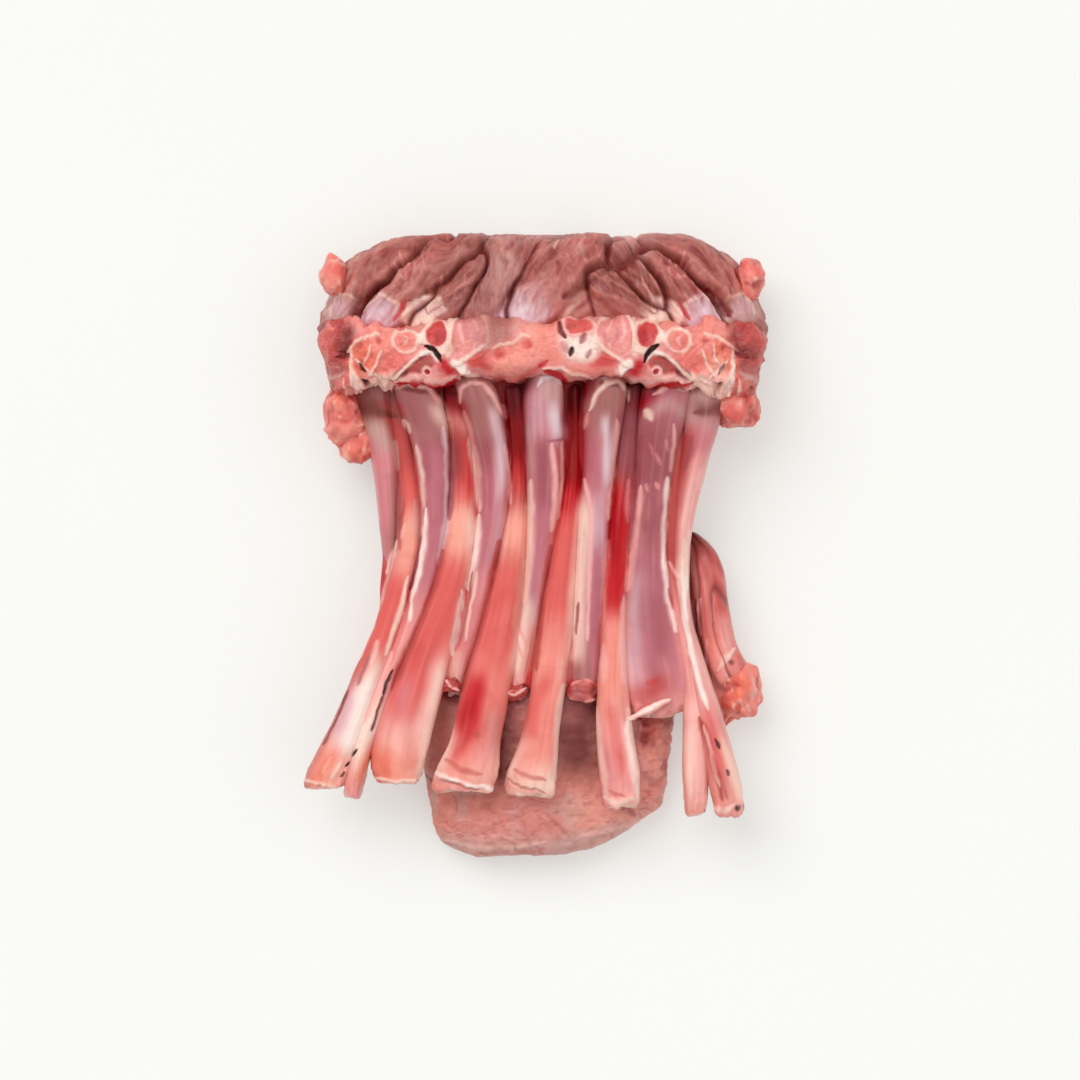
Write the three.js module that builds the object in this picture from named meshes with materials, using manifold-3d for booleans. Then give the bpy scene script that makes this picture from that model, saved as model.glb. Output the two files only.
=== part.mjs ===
// A raw rack of lamb, lying on its meat with the inner side of the rib cage up.
// One piece: the loin lobes and the sawn chine at the back, the rib cage with its membranes, the
// scraped rib ends at the front, and the cap of meat that lies under the ribs. Millimetres.
// +X runs along the chine, +Y from the rib ends to the loin, +Z up from the surface it rests on.
import * as THREE from "three";
import { mergeVertices } from "three/addons/utils/BufferGeometryUtils.js";
import Module from "manifold-3d";

const wasm = await Module();
wasm.setup();

// Driving dimensions of the whole piece.
const CAP_FRONT_Y = -142;
const CHINE_LEFT_X = -97;
const CHINE_RIGHT_X = 104;
const CHINE_TOP_Z = 55;
const CAP_TOP_Z = 27;
const RIB_TIP_TOP_Z = 41;
const MEAT_BACK_Y = 90;
const RIB_ROOT_Y = 76;
const RIB_WAIST_Y = 18;
const TORN_EDGE_Y = -68;
const CENTRE_SHIFT = new THREE.Vector3(-0.99, 0.5, 0);

// Where along the ribs each width and height is named: root, waist, scraped neck, tip.
const RIB_STATIONS = [0, 0.32, 0.8, 1];

// The bones between the membranes: x at root, waist and tip, y of the tip, sideways bow, and the
// half width at each station. They start sunk under the chine and end as bare flared tips.
const BONES = [
  { root: -61, waist: -58, tip: -97, tipY: -109, bow: 3, half: [5, 6, 5.5, 8] },
  { root: -37, waist: -34, tip: -62, tipY: -108, bow: 1, half: [6, 7, 9.5, 11.5] },
  { root: -10, waist: -8, tip: -33, tipY: -111, bow: 0, half: [6, 7, 9.5, 15] },
  { root: 17, waist: 16, tip: -2, tipY: -113, bow: 1, half: [6, 7, 8, 12.5] },
  { root: 41, waist: 40, tip: 39, tipY: -119, bow: -3, half: [5, 6, 7.5, 9.5] },
  { root: 62, waist: 57, tip: 74, tipY: -122, bow: -5, half: [5, 5, 6, 7] },
];
const BONE_TOPS = [34, 33, 38, RIB_TIP_TOP_Z];
const BONE_HALF_HEIGHTS = [6, 6.5, 5, 4.2];

// The raised bands with the lilac membrane. Most end torn off above the scraped necks; the second
// and the last run on to a tip of their own.
const MEMBRANES = [
  { root: -68, waist: -65, tip: -64, tipY: -15, bow: 0, half: [7, 5.5, 4, 2], tops: [42, 34, 30, 27] },
  { root: -54, waist: -43, tip: -86, tipY: -113, bow: 2, half: [8, 6.5, 6, 7], tops: [47, 38, 38, 41] },
  { root: -29, waist: -18, tip: -37, tipY: -67, bow: 1, half: [8, 7, 5, 4], tops: [48, 39, 35, 33] },
  { root: 3, waist: 4, tip: -8, tipY: -70, bow: 1, half: [8, 7, 5, 4], tops: [49, 40, 35, 33] },
  { root: 32, waist: 29, tip: 22, tipY: -71, bow: 1, half: [8, 7, 6, 5], tops: [49, 40, 35, 33] },
  { root: 53, waist: 52, tip: 51, tipY: -76, bow: 0, half: [8, 8, 13, 11], tops: [48, 39, 36, 35] },
  { root: 74, waist: 64, tip: 89, tipY: -122, bow: -10, half: [7, 5.5, 5.5, 7], tops: [42, 37, 38, 40] },
];
const MEMBRANE_HALF_HEIGHTS = [8, 6.5, 4.5, 3.8];

// The muscle lobes of the loin: from beside the chine out to the back edge, sideways bow, half
// width and top.
const LOBES = [
  { from: [-88, 98], to: [-45, 132], bow: 9, half: 11, top: 46 },
  { from: [-70, 96], to: [-30, 130], bow: 5, half: 11, top: 48 },
  { from: [-50, 95], to: [-22, 119], bow: 0, half: 8, top: 47 },
  { from: [-24, 97], to: [-12, 129], bow: 3, half: 13, top: 43 },
  { from: [-4, 97], to: [22, 130], bow: 3, half: 13, top: 47 },
  { from: [51, 94], to: [30, 115], bow: 0, half: 9, top: 46 },
  { from: [47, 112], to: [38, 130], bow: 0, half: 10, top: 44 },
  { from: [76, 96], to: [41, 125], bow: -5, half: 10, top: 48 },
  { from: [94, 98], to: [51, 132], bow: -9, half: 11, top: 46 },
];
const LOBE_HALF_HEIGHT = 17;

// Low lumps on the sawn face of the chine: the cut vertebrae and the muscle between them.
const SAWN_LUMPS = [
  { at: [-84, 87], half: [11, 13] },
  { at: [-57, 87], half: [10, 10] },
  { at: [-44, 90], half: [7, 7] },
  { at: [-29, 87], half: [9, 11] },
  { at: [-5, 80], half: [13, 9] },
  { at: [18, 93], half: [8, 6] },
  { at: [37, 87], half: [9, 11] },
  { at: [53, 90], half: [7, 7] },
  { at: [66, 87], half: [10, 10] },
  { at: [91, 86], half: [11, 13] },
];
const SAWN_LUMP_RISE = 3;

// Fat and trimmings that hang at the two ends of the chine.
const END_FAT = [
  { centre: [-90, 118, 24], half: [6, 9, 13] },
  { centre: [97, 118, 24], half: [6, 9, 13] },
  { centre: [-86, 57, 26], half: [9, 13, 12] },
  { centre: [-80, 46, 20], half: [10, 11, 11] },
  { centre: [90, 60, 26], half: [11, 9, 14] },
];

// The flap of red strips beside the last rib and the fat lump that it ends in.
const FLAP_STRIPS = [
  { from: [75, -1], to: [90, -64], bow: 0, half: 7, top: 27 },
  { from: [70, -10], to: [81, -78], bow: 2, half: 7, top: 24 },
];
const FLAP_FAT = { centre: [91, -68, 15], half: [11, 13, 11] };

// Torn rolls of membrane across the ends of the short bands.
const TORN_ROLLS = [
  { from: [-43, -64], to: [-33, -66], half: 2.6, top: 34 },
  { from: [-14, -70], to: [-3, -66], half: 2.6, top: 34 },
  { from: [14, -67], to: [28, -68], half: 4.2, top: 36 },
  { from: [40, -82], to: [61, -71], half: 2.4, top: 38 },
];

// Smooth value of a list named at ascending stations.
function blend(stations, values, t) {
  const last = stations.length - 1;
  const i = Math.min(Math.max(stations.findIndex((s) => s > t), 1), last + 1) - 1;
  const k = t >= stations[last] ? last - 1 : i;
  const u = THREE.MathUtils.clamp((t - stations[k]) / (stations[k + 1] - stations[k]), 0, 1);
  return THREE.MathUtils.lerp(values[k], values[k + 1], u * u * (3 - 2 * u));
}

// A sphere's vertices moved onto a path: the poles are the two ends, the rings are sections that
// stay upright. blunt sets how square the ends are, square how square the section is, and crowd how
// far the rings gather at the ends.
function fleshAlong(path, halfWidth, halfHeight, { blunt = 3, square = 2, crowd = 0.4, around = 10, along = 16 }) {
  const geometry = new THREE.SphereGeometry(1, around, along);
  const position = geometry.attributes.position;
  const point = new THREE.Vector3();
  const ahead = new THREE.Vector3();
  const side = new THREE.Vector3();
  const nudge = 0.01;
  for (let i = 0; i < position.count; i++) {
    const height = THREE.MathUtils.clamp(position.getY(i), -1, 1);
    const t = THREE.MathUtils.lerp(Math.acos(height) / Math.PI, (1 - height) / 2, crowd);
    const angle = Math.atan2(position.getZ(i), position.getX(i));
    const ring = Math.pow(Math.max(0, 1 - Math.pow(Math.abs(2 * t - 1), blunt)), 1 / blunt);
    const reach = Math.pow(
      Math.pow(Math.abs(Math.cos(angle)), square) + Math.pow(Math.abs(Math.sin(angle)), square),
      -1 / square,
    );
    path(t, point);
    path(Math.min(1, t + nudge), ahead);
    path(Math.max(0, t - nudge), side);
    side.sub(ahead).setZ(0).normalize();
    side.set(side.y, -side.x, 0);
    const out = ring * reach * Math.cos(angle) * halfWidth(t);
    const up = ring * reach * Math.sin(angle) * halfHeight(t);
    position.setXYZ(i, point.x + side.x * out, point.y + side.y * out, point.z + up);
  }
  return geometry;
}

// A closed three.js geometry as a solid that can be joined and cut, turned right side out.
function solidOf(geometry) {
  const bare = new THREE.BufferGeometry();
  bare.setAttribute("position", geometry.attributes.position);
  bare.setIndex(geometry.index);
  const merged = mergeVertices(bare, 1e-4);
  const index = merged.index.array;
  const outward = [];
  const inward = [];
  for (let i = 0; i < index.length; i += 3) {
    const [a, b, c] = [index[i], index[i + 1], index[i + 2]];
    if (a === b || b === c || c === a) continue;
    outward.push(a, b, c);
    inward.push(a, c, b);
  }
  const vertProperties = new Float32Array(merged.attributes.position.array);
  const closed = (corners) =>
    new wasm.Manifold(new wasm.Mesh({ numProp: 3, vertProperties, triVerts: new Uint32Array(corners) }));
  const solid = closed(outward);
  return solid.volume() > 0 ? solid : closed(inward);
}

// One band of the rib cage: it leaves the chine, draws in to the waist and fans out to its tip.
function ribBand({ root, waist, tip, tipY, bow, half }, tops, halfHeights) {
  const waistAt = (RIB_ROOT_Y - RIB_WAIST_Y) / (RIB_ROOT_Y - tipY);
  const path = (t, target) => {
    const draw = THREE.MathUtils.smoothstep(t, 0, waistAt);
    const fan = Math.pow(Math.max(0, (t - waistAt) / (1 - waistAt)), 1.12);
    const x = root + (waist - root) * draw + (tip - waist) * fan + bow * Math.sin(Math.PI * fan);
    const z = blend(RIB_STATIONS, tops, t) - blend(RIB_STATIONS, halfHeights, t);
    return target.set(x, THREE.MathUtils.lerp(RIB_ROOT_Y, tipY, t), z);
  };
  const halfWidth = (t) => blend(RIB_STATIONS, half, t);
  const halfHeight = (t) => blend(RIB_STATIONS, halfHeights, t);
  return fleshAlong(path, halfWidth, halfHeight, { blunt: 9, square: 2.2, crowd: 0.85, around: 10, along: 17 });
}

// A straight or bowed muscle between two points, tapering to its ends.
function muscle({ from, to, bow = 0, half, top }, halfHeight, shape) {
  const path = (t, target) => {
    const x = THREE.MathUtils.lerp(from[0], to[0], t);
    const y = THREE.MathUtils.lerp(from[1], to[1], t);
    const length = Math.hypot(to[0] - from[0], to[1] - from[1]);
    const lean = (bow * Math.sin(Math.PI * t)) / length;
    return target.set(x - (to[1] - from[1]) * lean, y + (to[0] - from[0]) * lean, top - halfHeight);
  };
  return fleshAlong(path, () => half, () => halfHeight, shape);
}

function lump({ centre, half }, around = 9, rings = 7) {
  return new THREE.SphereGeometry(1, around, rings).scale(...half).translate(...centre);
}

// The sawn backbone: a long block whose ends droop towards the ribs.
function chine() {
  const endness = (t) => Math.pow(Math.abs(2 * t - 1), 2);
  const path = (t, target) => {
    const x = THREE.MathUtils.lerp(CHINE_LEFT_X, CHINE_RIGHT_X, t);
    return target.set(x, 86 - 7 * endness(t) + 1.5 * Math.sin(21 * t), CHINE_TOP_Z / 2 - 2);
  };
  const halfWidth = (t) => 14 + 5 * endness(t) + Math.sin(34 * t);
  const halfHeight = (t) => CHINE_TOP_Z / 2 + 2 - 4 * endness(t) + Math.sin(27 * t);
  return fleshAlong(path, halfWidth, halfHeight, { blunt: 6, square: 3.4, crowd: 0.6, around: 14, along: 24 });
}

function sawnLumps() {
  return SAWN_LUMPS.map(({ at: [x, y], half: [halfX, halfY] }) => {
    const droop = 4 * Math.pow(x / CHINE_RIGHT_X, 2);
    const rise = 2 * SAWN_LUMP_RISE;
    return lump({ centre: [x, y, CHINE_TOP_Z - droop - SAWN_LUMP_RISE], half: [halfX, halfY, rise] }, 10, 6);
  });
}

// The loin under the lobes, flat where it lies.
function loinBed() {
  const path = (t, target) => target.set(THREE.MathUtils.lerp(-92, 100, t), 111 - 7 * Math.pow(2 * t - 1, 2), 8);
  const halfHeight = (t) => 31 + 2 * Math.sin(25 * t);
  return fleshAlong(path, () => 30, halfHeight, { blunt: 4, square: 2.4, around: 14, along: 18 });
}

// The cap of meat under the ribs: it runs from the chine to the front edge, flat where it lies.
function capOfMeat() {
  const stations = [0, 0.35, 0.7, 1];
  const path = (t, target) => {
    const x = blend(stations, [4, 4, 5, -2], t);
    return target.set(x, THREE.MathUtils.lerp(MEAT_BACK_Y, CAP_FRONT_Y, t), CAP_TOP_Z - 20);
  };
  const halfWidth = (t) => blend(stations, [72, 66, 58, 54], t);
  const halfHeight = (t) => 20 + 1.2 * Math.sin(19 * t);
  return fleshAlong(path, halfWidth, halfHeight, { blunt: 6, square: 2.5, crowd: 0.75, around: 18, along: 18 });
}

// The wall of muscle that fills the rib cage between the bones, down to the torn edge.
function cageWall() {
  const stations = [0, 0.4, 0.8, 1];
  const path = (t, target) => {
    const x = blend(stations, [3, -1, -3, -5], t);
    return target.set(x, THREE.MathUtils.lerp(MEAT_BACK_Y, TORN_EDGE_Y, t), 23);
  };
  const halfWidth = (t) => blend(stations, [76, 69, 72, 75], t);
  return fleshAlong(path, halfWidth, () => 9.5, { blunt: 12, square: 4, crowd: 0.8, around: 16, along: 12 });
}

function pieces() {
  const lobeShape = { blunt: 2.6, square: 2.2, around: 10, along: 9 };
  const rollShape = { blunt: 2.5, square: 2, around: 8, along: 6 };
  return [
    capOfMeat(),
    cageWall(),
    loinBed(),
    chine(),
    ...sawnLumps(),
    ...LOBES.map((lobe) => muscle(lobe, LOBE_HALF_HEIGHT, lobeShape)),
    ...BONES.map((bone) => ribBand(bone, BONE_TOPS, BONE_HALF_HEIGHTS)),
    ...MEMBRANES.map((band) => ribBand(band, band.tops, MEMBRANE_HALF_HEIGHTS)),
    ...FLAP_STRIPS.map((strip) => muscle(strip, strip.top / 2 + 1, lobeShape)),
    ...TORN_ROLLS.map((roll) => muscle(roll, roll.half, rollShape)),
    ...END_FAT.map((fat) => lump(fat)),
    lump(FLAP_FAT),
  ];
}

// The space below the surface that the rack lies on.
function belowSurface() {
  const size = 400;
  return solidOf(new THREE.BoxGeometry(size, size, size).translate(0, 0, -size / 2));
}

function rack() {
  const whole = pieces()
    .map(solidOf)
    .reduce((sum, piece) => sum.add(piece));
  const { vertProperties, triVerts } = whole.subtract(belowSurface()).getMesh();
  const geometry = new THREE.BufferGeometry();
  geometry.setAttribute("position", new THREE.BufferAttribute(vertProperties, 3));
  geometry.setIndex(new THREE.BufferAttribute(triVerts, 1));
  geometry.translate(CENTRE_SHIFT.x, CENTRE_SHIFT.y, CENTRE_SHIFT.z);
  geometry.computeVertexNormals();
  return geometry;
}

const rawMeat = new THREE.MeshStandardMaterial({ color: 0xc9736b, roughness: 0.4, metalness: 0 });
const mesh = new THREE.Mesh(rack(), rawMeat);
mesh.name = "rack_of_lamb";

const group = new THREE.Group();
group.add(mesh);
export default group;
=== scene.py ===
"""Raw rack of lamb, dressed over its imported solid: loin, sawn chine, rib cage, cap of meat and trimmings.

Sizes are millimetres in the layout of the solid: +X along the chine, +Y from the rib tips to the loin, +Z up
from the surface that the rack lies on. The tables of rib edges and of brush strokes are written on a plan
grid of 0.45 mm squares, counted right and down from the plan's upper left corner. Meshes are in metres.
"""

import logging
from dataclasses import dataclass, replace
from enum import Enum
from typing import Callable

import bpy
import numpy as np
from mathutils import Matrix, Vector


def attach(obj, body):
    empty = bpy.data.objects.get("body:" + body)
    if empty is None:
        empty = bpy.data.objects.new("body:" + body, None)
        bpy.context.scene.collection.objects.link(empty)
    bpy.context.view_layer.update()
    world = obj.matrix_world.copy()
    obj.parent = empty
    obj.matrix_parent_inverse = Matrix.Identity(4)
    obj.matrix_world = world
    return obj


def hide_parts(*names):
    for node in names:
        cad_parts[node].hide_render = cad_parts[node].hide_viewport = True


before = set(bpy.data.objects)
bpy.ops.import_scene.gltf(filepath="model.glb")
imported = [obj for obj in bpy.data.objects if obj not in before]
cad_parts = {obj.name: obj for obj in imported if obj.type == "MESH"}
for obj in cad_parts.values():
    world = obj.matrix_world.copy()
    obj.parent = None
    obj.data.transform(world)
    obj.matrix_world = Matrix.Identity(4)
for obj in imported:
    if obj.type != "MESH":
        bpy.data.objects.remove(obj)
LOG = logging.getLogger("rack_of_lamb")

METRES = 0.001
NODE = "rack_of_lamb"
CENTRE_SHIFT = np.array([-0.99, 0.5, 0.0])  # from the layout to the row frame
PLAN_STEP = 0.45  # side of a plan square
PLAN_ORIGIN = (535.0, 540.5)  # plan place of the layout's origin
PLAN_MIRROR = 1084.0  # sum of the plan places of two mirrored points
THIN = 4.0  # half width below which a stroke is a thin one, in plan squares
MIDDLE_X = 3.15  # X of the line that the rack is mirrored about
CHINE_LEFT_X = -94.0
CHINE_RIGHT_X = 101.0
CHINE_TOP_Z = 55.0
MEAT_BACK_Y = 90.0
TORN_EDGE_Y = -68.0
CAP_FRONT_Y = -142.0
CAP_TOP_Z = 27.0
PORES_PER_METRE = 1100.0
GLOSS_VEIL = 0.04  # light that gloss lays over the tones, for each unit of gloss
COAT_VEIL = 0.03  # the same for each unit of coat
PAINT_LIFT = 1.03  # small lift of all laid tones
DEEP_SHARE = 0.75  # share of the deep tone on a plain base, and on a base of many tones
DEEP_SHARE_OVER = 0.22
SMEAR_ROWS = 6  # rows on either side over which a band's tones are drawn out
STROKE_WANDER = 4.0  # how far a stroke's place may wander, in plan squares
SOFT_THIN = 0.8  # softness of thin and broad strokes
SOFT_BROAD = 1.0
TAPER = 0.8  # how much slimmer a thin stroke is at its ends
TAPER_REACH = 5.0  # length of the slimmer part, in half widths
SECTION_TURN = (-8.0, 188.0, 352.0)  # degrees: the upper side of a section, then the rest of the round
EDGE_PLACES = 401  # places at which an edge table is read
EDGE_WINDOW = 27  # places averaged to round an edge
COURSE_WINDOW = 19  # plan squares averaged along a course of tones

Array = np.ndarray


# ---- number helpers


def ease(low: float, high: float, value: Array) -> Array:
    """Smooth step: 0 up to low, 1 from high, eased by 3u^2 - 2u^3 between; low may be above high.

    Args:
        low: Value where the step starts.
        high: Value where the step ends.
        value: Values to ease.

    Returns:
        Eased values in 0..1.
    """
    u = np.clip((value - low) / (high - low), 0.0, 1.0)
    return u * u * (3.0 - 2.0 * u)


def blend(stations: tuple[float, ...], values: tuple[float, ...], t: Array) -> Array:
    """Value named at stations, eased from one station to the next.

    Args:
        stations: Ascending places in 0..1.
        values: Value at each station.
        t: Places to read.

    Returns:
        Blended values, the shape of t.
    """
    total = np.full_like(np.asarray(t, float), values[0])
    for i in range(len(stations) - 1):
        total += (values[i + 1] - values[i]) * ease(stations[i], stations[i + 1], t)
    return total


def bell(value: Array, centre: float | Array, width: float) -> Array:
    """Bell curve of height 1: exp(-((value - centre) / width)^2)."""
    return np.exp(-(((value - centre) / width) ** 2))


def steady(value: float) -> Callable[[Array], Array]:
    """A size that is the same all along a path."""
    return lambda t: np.full_like(t, value)


def points_at(x: Array | float, y: Array, z: Array | float) -> Array:
    """Points from their X, Y and Z, n x 3; a single number counts for all of them."""
    return np.stack(np.broadcast_arrays(x, y, z), axis=1)


def plan_of(x: Array, y: Array) -> tuple[Array, Array]:
    """Plan grid coordinates of layout millimetres."""
    return PLAN_ORIGIN[0] + x / PLAN_STEP, PLAN_ORIGIN[1] - y / PLAN_STEP


class Lattice:
    """Smooth random field: seeded values at whole-number corners, eased between the corners."""

    SIZE = 8192
    PRIMES = (73856093, 19349663, 83492791)

    def __init__(self, seed: int) -> None:
        """Draw the corner values from the seed."""
        self.values = np.random.default_rng(seed).random(self.SIZE) * 2.0 - 1.0

    def layer(self, x: Array, y: Array, z: Array) -> Array:
        """One layer of the field.

        Args:
            x: First coordinate, in cells.
            y: Second coordinate, in cells.
            z: Third coordinate, in cells.

        Returns:
            Values in -1..1.
        """
        cells = [np.floor(axis).astype(np.int64) for axis in (x, y, z)]
        parts = [axis - cell for axis, cell in zip((x, y, z), cells)]
        eased = [part * part * (3.0 - 2.0 * part) for part in parts]
        total = np.zeros(np.broadcast(x, y, z).shape)
        for corner in range(8):
            steps = (corner & 1, corner >> 1 & 1, corner >> 2 & 1)
            weight = np.ones_like(total)
            key = np.zeros(total.shape, np.int64)
            for cell, share, step, prime in zip(cells, eased, steps, self.PRIMES):
                weight = weight * (share if step else 1.0 - share)
                key = key ^ ((cell + step) * prime)
            total += weight * self.values[(key ^ key >> 13) & (self.SIZE - 1)]
        return total

    def at(self, x: Array, y: Array, z: Array | float = 0.0, octaves: int = 1) -> Array:
        """Sum of layers, each twice as fine and half as strong as the one before.

        Args:
            x: First coordinate, in cells.
            y: Second coordinate, in cells.
            z: Third coordinate, in cells.
            octaves: Number of layers.

        Returns:
            Values in about -1.5..1.5.
        """
        x, y, z = np.broadcast_arrays(np.asarray(x, float), y, z)
        total = np.zeros(x.shape)
        for octave in range(octaves):
            scale = 2.0**octave
            total += self.layer(x * scale + 17.3 * octave, y * scale, z * scale + 5.1 * octave) / scale
        return total


FIELD = Lattice(20611)


# ---- tones and strokes


class Tone(Enum):
    """Named colours of the raw meat, as screen values 0..255; the dark browns, wines and reds (BARK, WINE, GARNET,
    INK, TAUPE, UMBER, RUST) also serve as painted shade, and FROST also as painted highlight.
    """

    WHITE = (252, 232, 222)
    CREAM = (244, 208, 192)
    PETAL = (244, 182, 174)
    BLUSH = (232, 150, 144)
    SALMON = (237, 140, 128)
    PEACH = (243, 166, 148)
    CORAL = (220, 98, 92)
    RED = (198, 62, 62)
    SCARLET = (190, 26, 34)
    BLOOD = (150, 8, 18)
    GARNET = (104, 8, 18)
    WINE = (112, 46, 46)
    INK = (44, 14, 16)
    ROSE = (211, 127, 133)
    MAUVE = (189, 109, 120)
    PLUM = (160, 84, 92)
    LILAC = (214, 164, 174)
    FROST = (230, 206, 212)
    TAUPE = (170, 108, 104)
    STONE = (200, 158, 150)
    LEAN = (184, 108, 100)
    UMBER = (158, 90, 82)
    BARK = (120, 62, 56)
    ORANGE = (228, 108, 84)
    RUST = (182, 76, 72)
    BLOOM = (213, 132, 118)

    def screen(self) -> Array:
        """The tone as three numbers in 0..1."""
        return np.array(self.value) / 255.0


def albedo(screen: Array, veil: float) -> Array:
    """Linear reflectance of screen values in 0..1, less the veil of light that gloss lays over them."""
    linear = np.where(screen <= 0.04045, screen / 12.92, ((screen + 0.055) / 1.055) ** 2.4)
    return np.maximum(linear - veil, 0.001) * PAINT_LIFT


@dataclass(frozen=True)
class Stroke:
    """A brush stroke on the plan: a tone laid along a line, and how far the flesh rises or sinks under it."""

    tone: Tone
    width: float
    share: float
    line: tuple[tuple[float, float], ...]
    rise: float
    soft: float

    def mirrored(self) -> "Stroke":
        """The same stroke on the other half of the rack."""
        return replace(self, line=tuple((PLAN_MIRROR - x, y) for x, y in self.line))

    def mask(self, x: Array, y: Array) -> Array:
        """Cover of the stroke: 1 within the brush, eased to 0 over its soft edge.

        The distance is the shortest one to the straight parts of the line. A long line is slimmer at its
        ends: the brush is scaled by 1 - taper * (1 - sqrt(distance to the end / length of the end part)).

        Args:
            x: Plan coordinate to the right.
            y: Plan coordinate downwards.

        Returns:
            Mask in 0..1.
        """
        nearest, place, walked = np.full(x.shape, 1e9), np.zeros(x.shape), 0.0
        line = self.line if len(self.line) > 1 else self.line * 2
        for (ax, ay), (bx, by) in zip(line[:-1], line[1:]):
            dx, dy = bx - ax, by - ay
            length = float(np.hypot(dx, dy))
            share = np.clip(((x - ax) * dx + (y - ay) * dy) / (length**2 + 1e-9), 0.0, 1.0)
            distance = np.hypot(x - ax - share * dx, y - ay - share * dy)
            place = np.where(distance < nearest, walked + share * length, place)
            nearest = np.minimum(nearest, distance)
            walked += length
        taper = TAPER * min(1.0, walked / (TAPER_REACH * self.width)) if self.width < THIN else 0.0
        end_part = min(TAPER_REACH * self.width, 0.5 * walked) + 1e-6
        slim = 1.0 - taper * (1.0 - np.sqrt(np.clip(np.minimum(place, walked - place) / end_part, 0.0, 1.0)))
        width = self.width * slim
        low, high = width * (1.0 - self.soft), width * (1.0 + self.soft) + 0.5
        return ease(0.0, 1.0, (high - nearest) / (high - low))


def s(tone: Tone, width: float, share: float, *line: float, rise: float = 0.0,
      soft: float | None = None) -> Stroke:
    """A stroke, written briefly.

    Args:
        tone: Tone to lay.
        width: Half width of the brush, in plan squares.
        share: How much of the tone is laid.
        *line: Points of the line in plan squares, x and y of each in turn.
        rise: Rise in millimetres; sinks if negative.
        soft: Softness of the edge, as a share of the width; broad brushes are softer unless it is given.

    Returns:
        The stroke.
    """
    if soft is None:
        soft = SOFT_THIN if width < THIN else SOFT_BROAD
    return Stroke(tone, width, share, tuple(zip(line[::2], line[1::2])), rise, soft)


def both(*strokes: Stroke) -> tuple[Stroke, ...]:
    """The strokes and their mirror images, in the order given."""
    return tuple(copy for stroke in strokes for copy in (stroke, stroke.mirrored()))


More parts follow.
